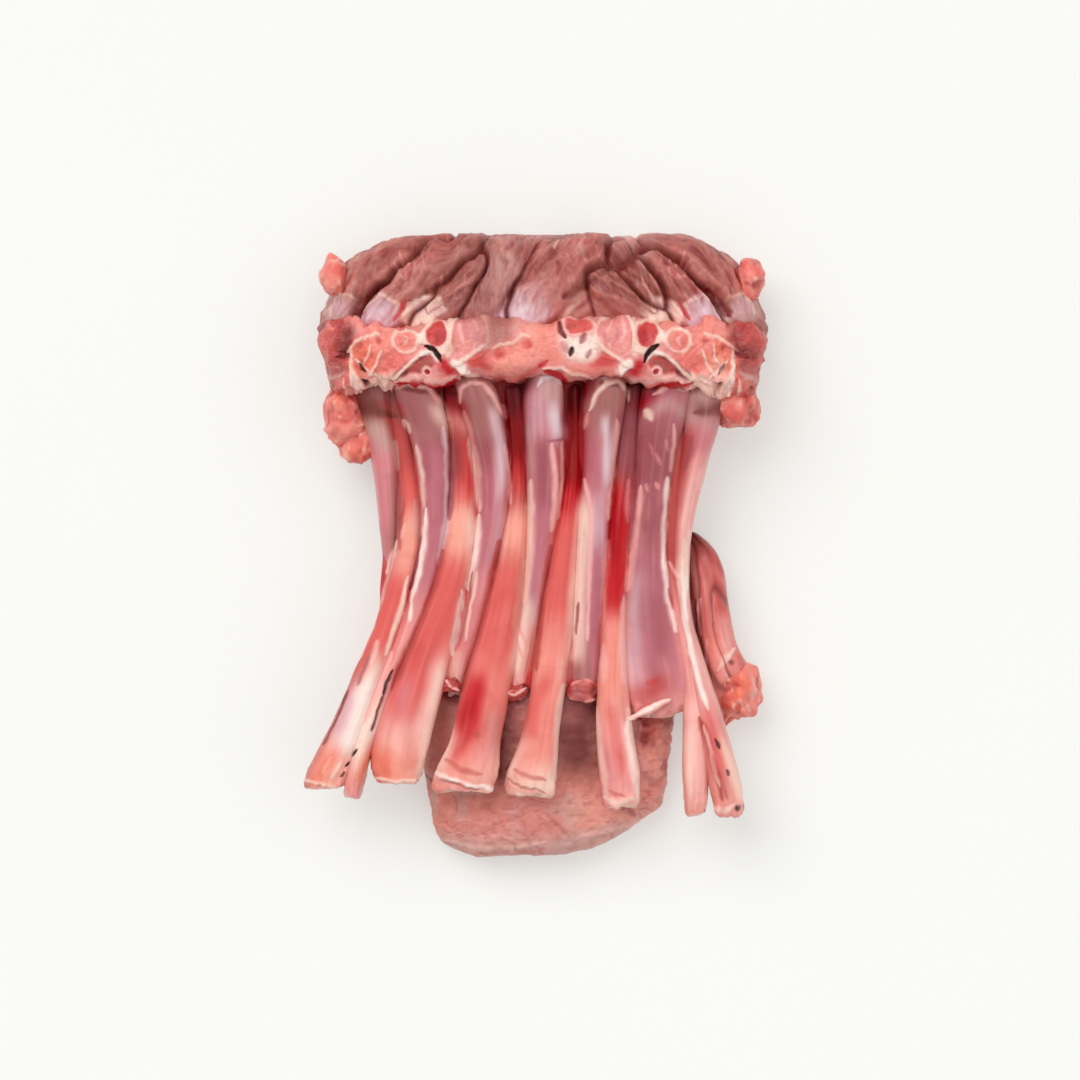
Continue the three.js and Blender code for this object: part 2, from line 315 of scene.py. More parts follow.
T = Tone  # short name for the tables
# The sunk bark, wine and garnet lines paint shade into the grooves between the lobes.
LOIN_STROKES = both(
    s(T.UMBER, 30, 0.7, 345, 300, 375, 258, 415, 240),
    s(T.UMBER, 9, 0.8, 400, 250, 425, 240, rise=0.4),
    s(T.BLOOM, 1.3, 0.8, 337, 298, 344, 278, 354, 260, rise=0.3),
    s(T.BLOOM, 1.2, 0.7, 351, 292, 358, 272, 368, 253, rise=0.3),
    s(T.BLOOM, 9, 0.45, 348, 288, 356, 274),
    s(T.STONE, 1, 0.7, 362, 270, 370, 252, 380, 242, rise=0.3),
    s(T.BLOOM, 1, 0.5, 378, 264, 390, 248, rise=0.2),
    s(T.BARK, 0.8, 0.5, 343, 298, 350, 278, 360, 260),
    s(T.BARK, 0.8, 0.5, 357, 290, 364, 272, 374, 256),
    s(T.BARK, 2, 0.45, 372, 284, 384, 268, 396, 258),
    s(T.STONE, 13, 0.9, 343, 308, 353, 312, soft=0.35),
    s(T.LILAC, 8, 0.7, 345, 307, 351, 311),
    s(T.CREAM, 0.9, 0.7, 333, 300, 345, 296, 357, 299, 365, 305, rise=0.2),
    s(T.CREAM, 0.8, 0.6, 339, 316, 340, 306, 346, 299, rise=0.2),
    s(T.LEAN, 24, 1, 396, 292, 428, 262, 468, 242),
    s(T.UMBER, 11, 0.9, 446, 246, 474, 236),
    s(T.UMBER, 12, 0.45, 416, 244, 436, 238),
    s(T.RUST, 8, 0.35, 420, 262, 450, 248),
    # painted shade in the grooves between the left lobes
    s(T.BARK, 3.8, 0.9, 357, 318, 366, 303, 379, 291, 393, 284, rise=-1.6),
    s(T.BARK, 3.4, 0.85, 393, 284, 404, 271, 416, 263, 430, 255, rise=-1.2),
    s(T.GARNET, 1.4, 0.6, 358, 317, 368, 301, 380, 290),
    s(T.BLUSH, 1.1, 0.9, 403, 261, 405, 269, 412, 271, 409, 282, 401, 281, rise=0.5),
    s(T.BLUSH, 0.9, 0.8, 396, 268, 403, 274, 400, 282, rise=0.4),
    s(T.BLUSH, 0.9, 0.6, 415, 262, 418, 275, 414, 290, rise=0.3),
    s(T.BLUSH, 0.9, 0.5, 424, 258, 425, 268, 431, 280, rise=0.3),
    s(T.RUST, 2, 0.5, 410, 272, 412, 284),
    s(T.UMBER, 18, 0.85, 433, 302, 458, 280, 478, 264),
    s(T.BARK, 1.5, 0.8, 411, 303, 424, 300, 437, 288, 446, 283, rise=-0.8),
    s(T.BLUSH, 1.1, 0.85, 430, 303, 439, 292, 444, 280, rise=0.5),
    s(T.BLUSH, 1.2, 0.9, 437, 308, 455, 294, 475, 284, 487, 277, rise=0.5),
    s(T.BLUSH, 0.8, 0.7, 455, 287, 468, 276, 478, 268, rise=0.3),
    s(T.BARK, 1.2, 0.9, 440, 313, 458, 299, 474, 288, 482, 284, rise=-0.7),
    s(T.BARK, 1, 0.7, 455, 286, 470, 273, 482, 264, rise=-0.5),
    s(T.BARK, 0.8, 0.6, 447, 283, 462, 270),
    s(T.LILAC, 14, 1, 374, 320, 384, 309, 390, 315, soft=0.2, rise=0.3),
    s(T.FROST, 7, 0.55, 378, 318, 386, 310),
    s(T.BARK, 3.4, 0.8, 361, 318, 370, 305, 382, 294),
    s(T.CREAM, 1.2, 0.9, 383, 297, 394, 302, 402, 306, 397, 316, rise=0.3),
    s(T.CREAM, 1, 0.8, 359, 322, 370, 308, 384, 297, rise=0.2),
    s(T.RED, 2, 0.9, 409, 303, 403, 313, 397, 322, rise=-0.5),
    s(T.PETAL, 1.8, 0.9, 413, 307, 407, 316, 402, 323, rise=0.3),
    s(T.CREAM, 10, 1, 414, 319, 422, 309, 434, 307, 430, 316, soft=0.2, rise=0.3),
    s(T.LILAC, 4, 0.6, 419, 311, 426, 307),
    s(T.WHITE, 2, 0.9, 440, 306, 447, 312, 440, 318),
    s(T.PLUM, 0.8, 0.8, 430, 316, 445, 306),
    s(T.PLUM, 0.8, 0.7, 427, 308, 429, 315),
    s(T.TAUPE, 16, 0.8, 462, 312, 478, 302, 490, 288),
) + (
    s(T.TAUPE, 22, 0.8, 500, 250, 508, 280, 500, 312),
    s(T.BLOOM, 2.2, 0.6, 499, 234, 503, 262),
    s(T.STONE, 2, 0.5, 510, 234, 508, 272),
    s(T.STONE, 11, 0.5, 504, 268, 505, 296),
    s(T.LEAN, 12, 0.8, 528, 240, 546, 236),
    # painted shade in the middle groove
    s(T.WINE, 5, 0.85, 500, 320, 511, 300, 527, 283, 544, 268, 556, 256, rise=-1.6),
    s(T.GARNET, 1.8, 0.5, 516, 294, 530, 280, 546, 266),
    s(T.LILAC, 18, 1, 514, 322, 530, 305, 544, 303, soft=0.2, rise=0.3),
    s(T.FROST, 12, 0.75, 520, 316, 536, 304),
    s(T.PETAL, 1.2, 0.8, 520, 296, 535, 288, 556, 294, rise=0.3),
    s(T.BLUSH, 3, 0.9, 552, 318, 560, 305, 568, 297, rise=0.3),
    s(T.RUST, 1.2, 0.6, 549, 314, 557, 302),
    s(T.LEAN, 22, 0.9, 552, 288, 576, 268, 598, 246),
    s(T.RUST, 6, 0.3, 570, 275, 590, 255),
    s(T.BLUSH, 1.1, 0.8, 577, 238, 584, 247, 579, 257, 587, 270, rise=0.4),
    s(T.BLUSH, 0.9, 0.6, 595, 240, 593, 252, 599, 263, rise=0.3),
    s(T.BLUSH, 0.8, 0.5, 566, 262, 572, 272),
    # painted shade in the grooves of the right lobes
    s(T.BARK, 3, 0.85, 562, 300, 580, 292, 598, 279, 611, 268, rise=-1.2),
    s(T.BARK, 6, 0.8, 556, 242, 566, 232, 580, 233, rise=-1.2),
    s(T.PETAL, 1.8, 0.8, 553, 253, 559, 246, rise=0.4),
    s(T.CREAM, 3.6, 0.95, 559, 323, 571, 309, 586, 293, rise=0.5),
    s(T.LEAN, 13, 0.8, 592, 306, 610, 300, 630, 308),
    s(T.BARK, 0.9, 0.8, 606, 276, 618, 286, 632, 294),
    s(T.BARK, 0.9, 0.7, 611, 290, 622, 298),
    s(T.BARK, 0.9, 0.6, 600, 284, 610, 294),
    s(T.BLUSH, 1, 0.7, 613, 284, 621, 290),
    s(T.STONE, 13, 0.75, 620, 240, 640, 244, 636, 256),
    s(T.PETAL, 7, 0.5, 630, 238, 644, 240),
    s(T.UMBER, 11, 0.7, 612, 292, 626, 298, 640, 302),
)
CHINE_STROKES = both(
    # red muscle at the end, with its dark folds; the wine stroke at its right side is painted shade
    s(T.RUST, 13, 1, 334, 330, 338, 352, 337, 366, soft=0.6),
    s(T.CORAL, 5, 0.6, 326, 328, 328, 350),
    s(T.RED, 5, 0.6, 340, 330, 346, 340),
    s(T.WINE, 6, 0.9, 348, 334, 352, 344, 344, 352, rise=-1),
    s(T.GARNET, 2.2, 0.8, 340, 353, 348, 356, 336, 360, rise=-0.8),
    s(T.BARK, 2.2, 0.8, 323, 322, 332, 325, rise=-0.8),
    s(T.SALMON, 1.6, 0.7, 325, 329, 334, 331, rise=0.5),
    s(T.TAUPE, 6, 0.7, 330, 372, 342, 372),
    s(T.STONE, 2, 0.8, 328, 378, 340, 378, 346, 373, rise=0.4),
    s(T.RUST, 7, 0.8, 333, 390, 338, 402, soft=0.7),
    s(T.CORAL, 4, 0.9, 349, 380, 342, 394, 335, 408, rise=0.4),
    s(T.CREAM, 1, 0.85, 334, 403, 345, 401, 352, 406, rise=0.5),
    s(T.CREAM, 0.9, 0.85, 346, 380, 347, 394, 350, 404, rise=0.5),
    s(T.SCARLET, 2.6, 0.8, 334, 409, 350, 411),
    s(T.INK, 1.1, 0.7, 335, 385, rise=-0.8),
    # salmon flesh and the orange cells between the pale webs
    s(T.SALMON, 14, 1, 380, 334, 392, 346, 388, 366, soft=0.5),
    s(T.CORAL, 10, 0.55, 390, 366, 404, 362, 384, 372),
    s(T.ORANGE, 10, 0.9, 362, 350, 368, 362, 358, 368, soft=0.6),
    s(T.RUST, 3.4, 0.8, 361, 348, rise=-0.5),
    s(T.RUST, 2.6, 0.7, 380, 343, rise=-0.6),
    s(T.RUST, 2.8, 0.6, 370, 357, rise=-0.5),
    s(T.RUST, 3, 0.7, 360, 362, 363, 372),
    s(T.CREAM, 1.5, 0.85, 347, 354, 358, 344, 370, 338, 382, 336, rise=0.8),
    s(T.CREAM, 1.8, 0.85, 352, 348, 353, 366, 357, 381, 362, 396, rise=0.8),
    s(T.CREAM, 1.2, 0.85, 357, 360, 366, 371, 377, 381, rise=0.7),
    s(T.CREAM, 1.3, 0.85, 383, 352, 378, 366, 370, 381, rise=0.8),
    s(T.CREAM, 1, 0.85, 372, 346, 370, 358, 366, 366, rise=0.6),
    s(T.CREAM, 1.2, 0.85, 355, 372, 362, 386, 371, 399, rise=0.6),
    s(T.WHITE, 1.6, 0.9, 352, 366, 354, 384, 358, 398, rise=0.5),
    s(T.CREAM, 1.1, 0.85, 378, 380, 372, 392, rise=0.5),
    s(T.INK, 1.4, 0.9, 361, 365, 367, 375, rise=-1.2),
    s(T.INK, 2, 0.95, 364, 382, 369, 386, 371, 392, rise=-1.6),
    s(T.CREAM, 9.5, 0.95, 384, 386, 376, 397, 396, 384, soft=0.4, rise=0.4),
    s(T.PETAL, 6, 0.7, 396, 388, 384, 400, 372, 404),
    # small round section and the dark oval, each in its pale rim
    s(T.CREAM, 14, 0.9, 407, 341, soft=0.12, rise=0.4),
    s(T.SALMON, 10.6, 0.95, 407, 342, soft=0.14, rise=-0.5),
    s(T.CORAL, 6.6, 0.5, 406, 342, soft=0.4),
    s(T.BLOOM, 3.4, 0.7, 407, 343),
    s(T.PETAL, 1.1, 0.7, 404, 335, 409, 341, 405, 348),
    s(T.CREAM, 14.5, 1, 436, 336, 440, 342, soft=0.1, rise=0.6),
    s(T.WHITE, 3, 0.7, 424, 328, 422, 344),
    s(T.RED, 9.4, 1, 437, 334, 438, 339, soft=0.14, rise=-1),
    s(T.BLOOD, 5, 0.45, 441, 340),
    s(T.CORAL, 3, 0.5, 433, 331),
    s(T.CREAM, 3.8, 1, 450, 322, 454, 336, 452, 352, 447, 364, rise=0.5),
    # red wedge under the oval and the dark crescent gap
    s(T.WINE, 4.8, 1, 400, 378, 412, 368, 424, 360, soft=0.3),
    s(T.RUST, 6.4, 0.95, 416, 372, 430, 364, soft=0.25, rise=-0.4),
    s(T.UMBER, 3.6, 0.8, 420, 374, 431, 364),
    s(T.CREAM, 1.8, 1, 393, 382, 410, 366, 424, 354, 433, 353, 441, 362, 443, 372, rise=0.6),
    s(T.PETAL, 5, 0.95, 428, 373, soft=0.15, rise=0.4),
    s(T.BLOOD, 2.4, 0.95, 429, 373, soft=0.2, rise=-0.6),
    s(T.WHITE, 3, 1, 422, 357, 433, 352, 442, 366, rise=0.3),
    s(T.INK, 2.3, 1, 426, 347, 433, 350, 439, 357, 442, 365, soft=0.2, rise=-2.8),
    s(T.SCARLET, 5.4, 0.95, 446, 367, 452, 372, rise=-0.6),
    # large pink oval, the white point and the red wedge beside it
    s(T.CREAM, 19.5, 1, 470, 333, 470, 343, soft=0.08, rise=0.5),
    s(T.CORAL, 16.6, 0.7, 471, 334, 470, 344, soft=0.06, rise=-0.5),
    s(T.BLUSH, 15.2, 0.75, 471, 334, 470, 344, soft=0.12),
    s(T.BLUSH, 7, 0.95, 462, 354, 457, 362),
    s(T.PETAL, 1.5, 0.8, 463, 322, 460, 334, 464, 346),
    s(T.PETAL, 1.3, 0.8, 473, 320, 479, 334, 474, 350),
    s(T.ROSE, 3.2, 0.8, 467, 329, 468, 340),
    s(T.ROSE, 3.2, 0.7, 476, 343, 481, 334),
    s(T.CORAL, 8, 1, 476, 362, 487, 360, 488, 366, soft=0.3, rise=-0.6),
    s(T.RED, 4, 0.5, 478, 362, 486, 366),
    s(T.CREAM, 1.8, 1, 456, 367, 470, 358, 488, 345, rise=0.8),
    s(T.CREAM, 1.8, 1, 457, 369, 469, 376, 486, 381, rise=0.8),
    s(T.WHITE, 4.4, 1, 456, 366, 462, 369, soft=0.4, rise=1),
    s(T.WHITE, 2.2, 1, 460, 370, 470, 374, rise=0.5),
    # lower edge: a pale ledge over a line of blood, and shade beneath it
    s(T.PETAL, 3.6, 0.9, 396, 383, 418, 380, 440, 383, 456, 379, rise=1),
    s(T.CORAL, 2, 0.8, 404, 385, 424, 386, 446, 385),
    s(T.SCARLET, 2, 0.95, 392, 385, 412, 388, 440, 390, 460, 383, rise=-0.8),
    s(T.WINE, 2.2, 0.8, 462, 379, 476, 383, 496, 389, rise=-0.6),
    s(T.GARNET, 2.4, 0.7, 394, 392, 420, 393, 450, 394),
) + (
    # middle: the orange bone with its two soft dents
    s(T.TAUPE, 19, 0.75, 495, 312, 499, 334),
    s(T.UMBER, 7, 0.45, 500, 320, 503, 336),
    s(T.SALMON, 15, 1, 504, 363, 522, 352, 541, 341, 552, 340, soft=0.5, rise=0.5),
    s(T.PEACH, 13, 0.55, 530, 332, 546, 334),
    s(T.PEACH, 6, 0.5, 506, 366, 520, 360, 536, 352),
    s(T.CORAL, 5.2, 0.9, 500, 357, soft=0.5, rise=-1),
    s(T.CORAL, 4.4, 0.8, 528, 347, soft=0.5, rise=-0.9),
    s(T.RUST, 2.2, 0.6, 501, 358),
    s(T.RUST, 1.8, 0.5, 529, 348),
    s(T.CREAM, 1.6, 0.7, 494, 351, 500, 346, 512, 345, 523, 338, 530, 339, rise=0.5),
    s(T.CORAL, 3, 0.7, 495, 380, 515, 382, 533, 373, 543, 364),
    s(T.SALMON, 10, 0.8, 549, 338, 550, 356),
    s(T.SCARLET, 2.4, 0.7, 538, 369, 548, 362),
    # white gristle with an orange oval and dark slits
    s(T.CREAM, 16, 1, 575, 341, 584, 348, soft=0.3, rise=0.3),
    s(T.WHITE, 9, 0.8, 573, 350, 588, 350),
    s(T.PETAL, 10.5, 1, 571, 329, 586, 327, soft=0.12, rise=0.5),
    s(T.CORAL, 6.8, 1, 572, 329, 585, 327, soft=0.2, rise=-0.9),
    s(T.RUST, 2.2, 0.7, 566, 332, 576, 326),
    s(T.WINE, 2.2, 0.9, 559, 325, 561, 334, 566, 341, rise=-1.2),
    s(T.PLUM, 2.6, 0.8, 584, 336, 581, 346, rise=-1.2),
    s(T.INK, 2, 0.9, 572, 350, 570, 357, rise=-1.6),
    s(T.ROSE, 3.4, 0.7, 562, 346, 566, 352),
    s(T.PLUM, 2.2, 0.6, 590, 352, 587, 359),
    s(T.SALMON, 4.5, 0.9, 570, 371, 598, 373, 622, 378, rise=0.6),
    s(T.CREAM, 1.4, 0.85, 542, 370, 560, 370, 576, 375, 592, 380, rise=0.7),
    s(T.SCARLET, 3.2, 1, 544, 374, 558, 378, 570, 383, rise=-0.5),
    # right end: darker muscle, and paler fat inside it
    s(T.RUST, 14, 0.75, 743, 326, 748, 346),
    s(T.WINE, 5, 0.45, 738, 352, 752, 354),
    s(T.CREAM, 6, 0.55, 716, 362, 724, 386),
    s(T.PETAL, 5, 0.5, 706, 374, 712, 390),
)
CAGE_STROKES = (
    # hollows under the chine and between the fingers: the bark, wine and ink strokes are painted shade under the
    # chine, and the blood, garnet and reds are the blood of the hollows darkened by painted shade
    s(T.BARK, 9, 0.9, 350, 408, 372, 408, 396, 414),
    s(T.BARK, 3.9, 0.8, 352, 409, 372, 410, 398, 417, soft=1),
    s(T.BARK, 7, 0.85, 696, 412, 720, 408, 740, 406),
    s(T.BARK, 3.9, 0.7, 692, 414, 716, 410, 736, 407, soft=1),
    s(T.RUST, 9, 0.85, 388, 412, 400, 438, 407, 468),
    s(T.BLOOD, 7, 0.9, 436, 388, 452, 399, 464, 412),
    s(T.GARNET, 3, 0.6, 440, 389, 460, 396),
    s(T.RUST, 11, 0.8, 456, 440, 459, 468),
    s(T.WINE, 6, 0.4, 456, 446, 456, 474),
    s(T.GARNET, 13, 0.95, 520, 385, 513, 405, 515, 435),
    s(T.BLOOD, 9, 0.9, 516, 425, 518, 458),
    s(T.INK, 5, 0.6, 529, 380, 523, 392),
    s(T.RED, 9, 0.8, 516, 470, 516, 486),
    s(T.GARNET, 10, 0.95, 586, 384, 576, 400, 570, 416),
    s(T.BLOOD, 12, 1, 573, 425, 574, 458, 572, 478),
    s(T.BLOOD, 5, 0.9, 577, 470, 575, 486),
    s(T.GARNET, 7, 0.95, 664, 384, 650, 394, 638, 406),
    s(T.SCARLET, 4, 0.6, 640, 405, 650, 400),
    s(T.PLUM, 10, 0.85, 628, 418, 631, 445, 627, 468),
    s(T.WINE, 3, 0.8, 400, 389, 430, 392, 450, 398, soft=0.6),
    s(T.WINE, 3, 0.8, 600, 384, 630, 386, 655, 388, soft=0.6),
    # first column and its shade
    s(T.ROSE, 8, 0.5, 378, 450, 386, 520, 388, 560),
    s(T.STONE, 7, 0.8, 380, 428, 386, 446),
    s(T.TAUPE, 5, 0.9, 396, 478, 397, 515, 394, 548),
    s(T.STONE, 2.5, 0.8, 394, 440, 398, 470),
    s(T.CREAM, 1.4, 0.9, 398, 540, 392, 556, 386, 574, rise=0.4),
    # first bone
    s(T.CORAL, 7, 0.9, 406, 478, 410, 500),
    s(T.PEACH, 8, 0.9, 413, 520, 410, 548, 405, 568),
    s(T.STONE, 3, 0.5, 416, 500, 418, 540),
    s(T.RUST, 1.6, 0.7, 404, 500, 401, 530, 400, 550),
    s(T.PETAL, 1.8, 0.8, 405, 524, 402, 538),
    s(T.CORAL, 12, 0.95, 397, 592, 384, 640, 373, 668),
    s(T.PETAL, 1.5, 0.8, 396, 552, 384, 590, 373, 625, 360, 660, rise=0.3),
    s(T.CORAL, 9, 0.85, 382, 628, 370, 662),
    s(T.PLUM, 1.4, 0.6, 375, 645, 358, 684),
    s(T.RUST, 6, 0.4, 372, 655, 362, 680),
    s(T.MAUVE, 5, 0.5, 352, 684, 344, 704),
    s(T.CREAM, 9, 0.9, 378, 665, 364, 700, 353, 735),
    s(T.FROST, 13, 0.7, 368, 696, 356, 722, 348, 740),
    s(T.WHITE, 10, 0.9, 371, 688, 361, 716, 352, 740),
    s(T.LILAC, 4.5, 0.65, 350, 702, 339, 730),
    s(T.CREAM, 3, 0.6, 372, 664, 378, 640),
    s(T.BARK, 1, 0.8, 349, 690, 337, 718, 324, 744),
    s(T.CREAM, 2.2, 0.95, 406, 588, 398, 620, 386, 655, rise=0.4),
    s(T.ORANGE, 5, 0.5, 334, 752, 316, 778),
    s(T.PEACH, 1.6, 0.9, 332, 756, 323, 772, rise=0.4),
    s(T.CREAM, 1.4, 0.8, 342, 760, 333, 778, rise=0.4),
    s(T.BLUSH, 3, 0.8, 346, 776, 350, 790, rise=0.3),
    s(T.INK, 1, 0.8, 358, 748, 354, 755, soft=0.2),
    s(T.INK, 1, 0.8, 351, 761, 347, 766, soft=0.2),
    s(T.INK, 1, 0.7, 345, 771, 341, 776, soft=0.2),
    s(T.CREAM, 1.4, 0.8, 303, 781, 320, 782, 338, 787, rise=0.5),
    # second finger
    s(T.TAUPE, 16, 0.85, 408, 394, 424, 408, 430, 428),
    s(T.PLUM, 7, 0.5, 402, 402, 412, 420),
    s(T.PETAL, 2.4, 0.8, 394, 391, 408, 384, 428, 388, 444, 406, 449, 420, rise=0.6),
    s(T.CREAM, 6, 0.85, 437, 411, 445, 424, rise=0.3),
    s(T.CREAM, 2.2, 0.9, 404, 420, 410, 433),
    s(T.RED, 3, 0.6, 398, 403, 406, 416),
    s(T.MAUVE, 9, 0.85, 429, 448, 434, 480, 436, 510),
    s(T.PLUM, 4, 0.5, 425, 450, 429, 478),
    s(T.MAUVE, 9, 0.7, 434, 510, 434, 545, 428, 580),
    s(T.CREAM, 2.4, 0.85, 417, 445, 423, 478, 424, 508, rise=0.4),
    # painted highlight along the finger's right edge
    s(T.FROST, 2.6, 0.85, 444, 428, 448, 465, 448, 502, 445, 532, 438, 566, rise=0.5),
    s(T.WHITE, 2.5, 0.95, 427, 508, 425, 545, 419, 575, 411, 602, rise=0.6),
    s(T.CREAM, 1.6, 0.9, 408, 575, 403, 600, 400, 622, rise=0.4),
    s(T.PLUM, 1.2, 0.8, 422, 535, 418, 562, 410, 590, rise=-0.3),
    s(T.BLUSH, 7, 0.8, 406, 635, 394, 668, 382, 700),
    s(T.WHITE, 2, 0.9, 412, 600, 410, 622),
    s(T.PETAL, 2.5, 0.9, 392, 650, 378, 690, 366, 722, rise=0.3),
    s(T.CREAM, 6, 0.7, 378, 700, 366, 735, 358, 765),
    s(T.INK, 1.7, 0.95, 394, 669, 388, 682, 384, 694, soft=0.25, rise=-1.6),
    s(T.WINE, 1, 0.9, 384, 694, 378, 712, 373, 730, rise=-0.8),
    s(T.ORANGE, 5, 0.6, 372, 752, 362, 776),
    s(T.BLUSH, 4, 0.7, 350, 786, 354, 796),
    # second bone
    s(T.BLUSH, 5, 0.8, 459, 418, 464, 426, rise=0.4),
    s(T.RED, 4, 0.8, 466, 440, 468, 470, 469, 492),
    s(T.PLUM, 3.5, 0.8, 450, 440, 452, 490, 449, 520),
    s(T.CORAL, 5, 0.7, 460, 488, 462, 500),
    s(T.PEACH, 10, 0.9, 461, 514, 462, 534, 459, 544, soft=0.7),
    s(T.CREAM, 4, 0.7, 470, 515, 471, 545),
    s(T.CORAL, 13, 0.9, 452, 578, 442, 612, 430, 640),
    s(T.RUST, 3.2, 0.8, 444, 550, 436, 582, 424, 615, 406, 655, 392, 690),
    s(T.SALMON, 7, 0.6, 447, 648, 438, 678),
    s(T.RED, 5, 0.35, 420, 640, 404, 690),
    s(T.CORAL, 13, 0.55, 406, 676, 399, 710),
    s(T.CORAL, 9, 0.6, 412, 676, 402, 712),
    s(T.CORAL, 9, 0.7, 409, 680, 403, 702),
    s(T.PETAL, 10, 0.45, 404, 730, 400, 744),
    s(T.ORANGE, 8, 0.7, 384, 757, 386, 771),
    s(T.PETAL, 7, 0.75, 438, 664, 430, 704, 424, 748),
    s(T.CREAM, 4, 0.85, 442, 668, 432, 710, 426, 748, 422, 774, rise=0.3),
    s(T.BLOOM, 5, 0.4, 412, 734, 408, 762),
    s(T.ROSE, 6, 0.6, 408, 684, 402, 708),
    s(T.CREAM, 1.2, 0.9, 374, 777, 398, 780, 420, 778, rise=0.5),
    # cream lines between the second bone and the third finger
    s(T.CREAM, 3.6, 0.9, 469, 438, 477, 475, 480, 512, rise=0.4),
    s(T.WHITE, 3.6, 0.95, 479, 515, 476, 552, 468, 590, rise=0.5),
    s(T.WHITE, 2.2, 0.85, 463, 590, 457, 622, 452, 655, rise=0.5),
    s(T.CREAM, 1.4, 0.8, 478, 572, 472, 600, 466, 640, rise=0.4),
    s(T.CORAL, 4, 0.6, 472, 606, 466, 650),
    s(T.TAUPE, 0.9, 0.9, 473, 572, 467, 605, 459, 645, rise=-0.4),
    s(T.CREAM, 5, 0.7, 457, 655, 452, 676),
    # third finger
    s(T.TAUPE, 14, 0.9, 474, 395, 482, 414, 486, 430),
    s(T.PETAL, 2.2, 0.9, 460, 404, 461, 390, 470, 383, 484, 385, 494, 397, 502, 414, rise=0.6),
    s(T.BLUSH, 3.2, 0.8, 463, 412, 470, 434, 474, 450),
    s(T.PLUM, 7, 0.6, 486, 446, 489, 464),
    # painted highlight on the wet membrane
    s(T.FROST, 5, 0.8, 494, 414, 500, 440, 502, 466, 500, 492),
    s(T.MAUVE, 9, 0.8, 488, 480, 490, 520, 486, 556),
    s(T.LILAC, 5, 0.6, 504, 490, 500, 532, 493, 565),
    s(T.PETAL, 1.4, 0.7, 505, 445, 510, 475, 511, 505, rise=0.3),
    s(T.ROSE, 7, 0.7, 483, 580, 476, 620, 468, 658),
    s(T.BLUSH, 3.4, 0.8, 502, 404, 506, 420),
    # third bone
    s(T.RUST, 8, 0.6, 513, 498, 512, 508),
    s(T.RUST, 5, 0.7, 404, 428, 408, 450),
    s(T.PEACH, 9, 0.9, 517, 518, 515, 548),
    s(T.CORAL, 13, 0.85, 509, 572, 502, 606, 497, 640, 490, 668),
    s(T.RUST, 3.2, 0.75, 500, 540, 490, 580, 478, 630, 470, 660, 464, 690),
    s(T.BLOOM, 3, 0.8, 522, 558, 519, 600, 514, 630),
    s(T.SALMON, 14, 0.5, 489, 672, 484, 702),
    s(T.SCARLET, 8, 0.95, 478, 684, 473, 706, 466, 728),
    s(T.RED, 6, 0.6, 460, 738, 452, 754),
    s(T.BLOOD, 4, 0.4, 470, 704, 467, 720),
    s(T.RED, 8, 0.6, 466, 725, 458, 744),
    s(T.RUST, 3.5, 0.5, 478, 734),
    s(T.PETAL, 5, 0.85, 452, 732, 444, 754, 434, 768),
    s(T.STONE, 6, 0.6, 494, 716, 492, 752),
    s(T.PEACH, 7, 0.6, 466, 772, 486, 778),
    s(T.WHITE, 1.8, 0.9, 430, 768, 448, 777, 470, 783, 497, 786, rise=0.6),
    s(T.BARK, 1, 0.5, 440, 776, 458, 783, 480, 788),
    s(T.RUST, 2.6, 0.5, 444, 758, 462, 768, 482, 772),
    s(T.CORAL, 4, 0.5, 486, 740, 488, 764),
    # fourth finger
    s(T.ROSE, 15, 0.6, 538, 400, 542, 425),
    s(T.STONE, 8, 0.8, 545, 388, 552, 396),
    s(T.FROST, 2.2, 0.9, 537, 388, 543, 379, 556, 378, 561, 386, rise=0.6),
    # painted highlight on the wet membrane
    s(T.FROST, 6.5, 0.95, 554, 412, 556, 424, 558, 435, rise=0.5),
    s(T.LILAC, 9, 0.7, 538, 402, 536, 430),
    s(T.PLUM, 1.2, 0.7, 547, 442, 564, 441),
    s(T.PLUM, 6, 0.9, 543, 446, 544, 476, 543, 504),
    s(T.STONE, 4, 0.6, 529, 430, 531, 470),
    s(T.CREAM, 3.4, 0.9, 531, 480, 531, 530, 528, 572, 524, 604, rise=0.4),
    s(T.PETAL, 2.6, 0.95, 552, 444, 555, 476, 556, 502, 552, 532, rise=0.5),
    s(T.PETAL, 1.6, 0.9, 562, 442, 562, 480, 558, 520),
    s(T.MAUVE, 7, 0.8, 543, 510, 541, 550, 535, 592),
    s(T.ROSE, 3.6, 0.7, 551, 538, 546, 570, 541, 602),
    s(T.CREAM, 5.5, 0.85, 526, 604, 521, 640, 516, 668, rise=0.2),
    s(T.BLUSH, 0.9, 0.8, 518, 618, 524, 640, 528, 650),
    s(T.BLUSH, 0.9, 0.7, 516, 636, 522, 658),
    s(T.BLOOM, 4, 0.7, 532, 630, 526, 668),
    # fourth bone
    s(T.SCARLET, 8, 0.8, 569, 492, 566, 508),
    s(T.CORAL, 12, 0.9, 563, 530, 558, 570, 555, 610, soft=0.45),
    s(T.RUST, 3, 0.7, 551, 545, 544, 592, 540, 630, 536, 670),
    s(T.SALMON, 11, 0.8, 557, 628, 556, 650, 554, 668),
    s(T.PETAL, 5, 0.6, 562, 660, 561, 676),
    s(T.CORAL, 5, 0.8, 548, 678, 536, 702, 534, 732),
    s(T.CREAM, 2.8, 0.9, 564, 684, 559, 706, 557, 742, 557, 780, rise=0.4),
    s(T.PETAL, 3, 0.8, 525, 698, 520, 728, 512, 754, rise=0.3),
    s(T.SALMON, 7, 0.8, 534, 748, 530, 768),
    s(T.CREAM, 5, 0.85, 546, 786, 553, 774),
    s(T.CREAM, 4, 0.8, 510, 766, 505, 775),
    s(T.PEACH, 2, 0.8, 508, 782, 524, 788, 540, 792, rise=0.5),
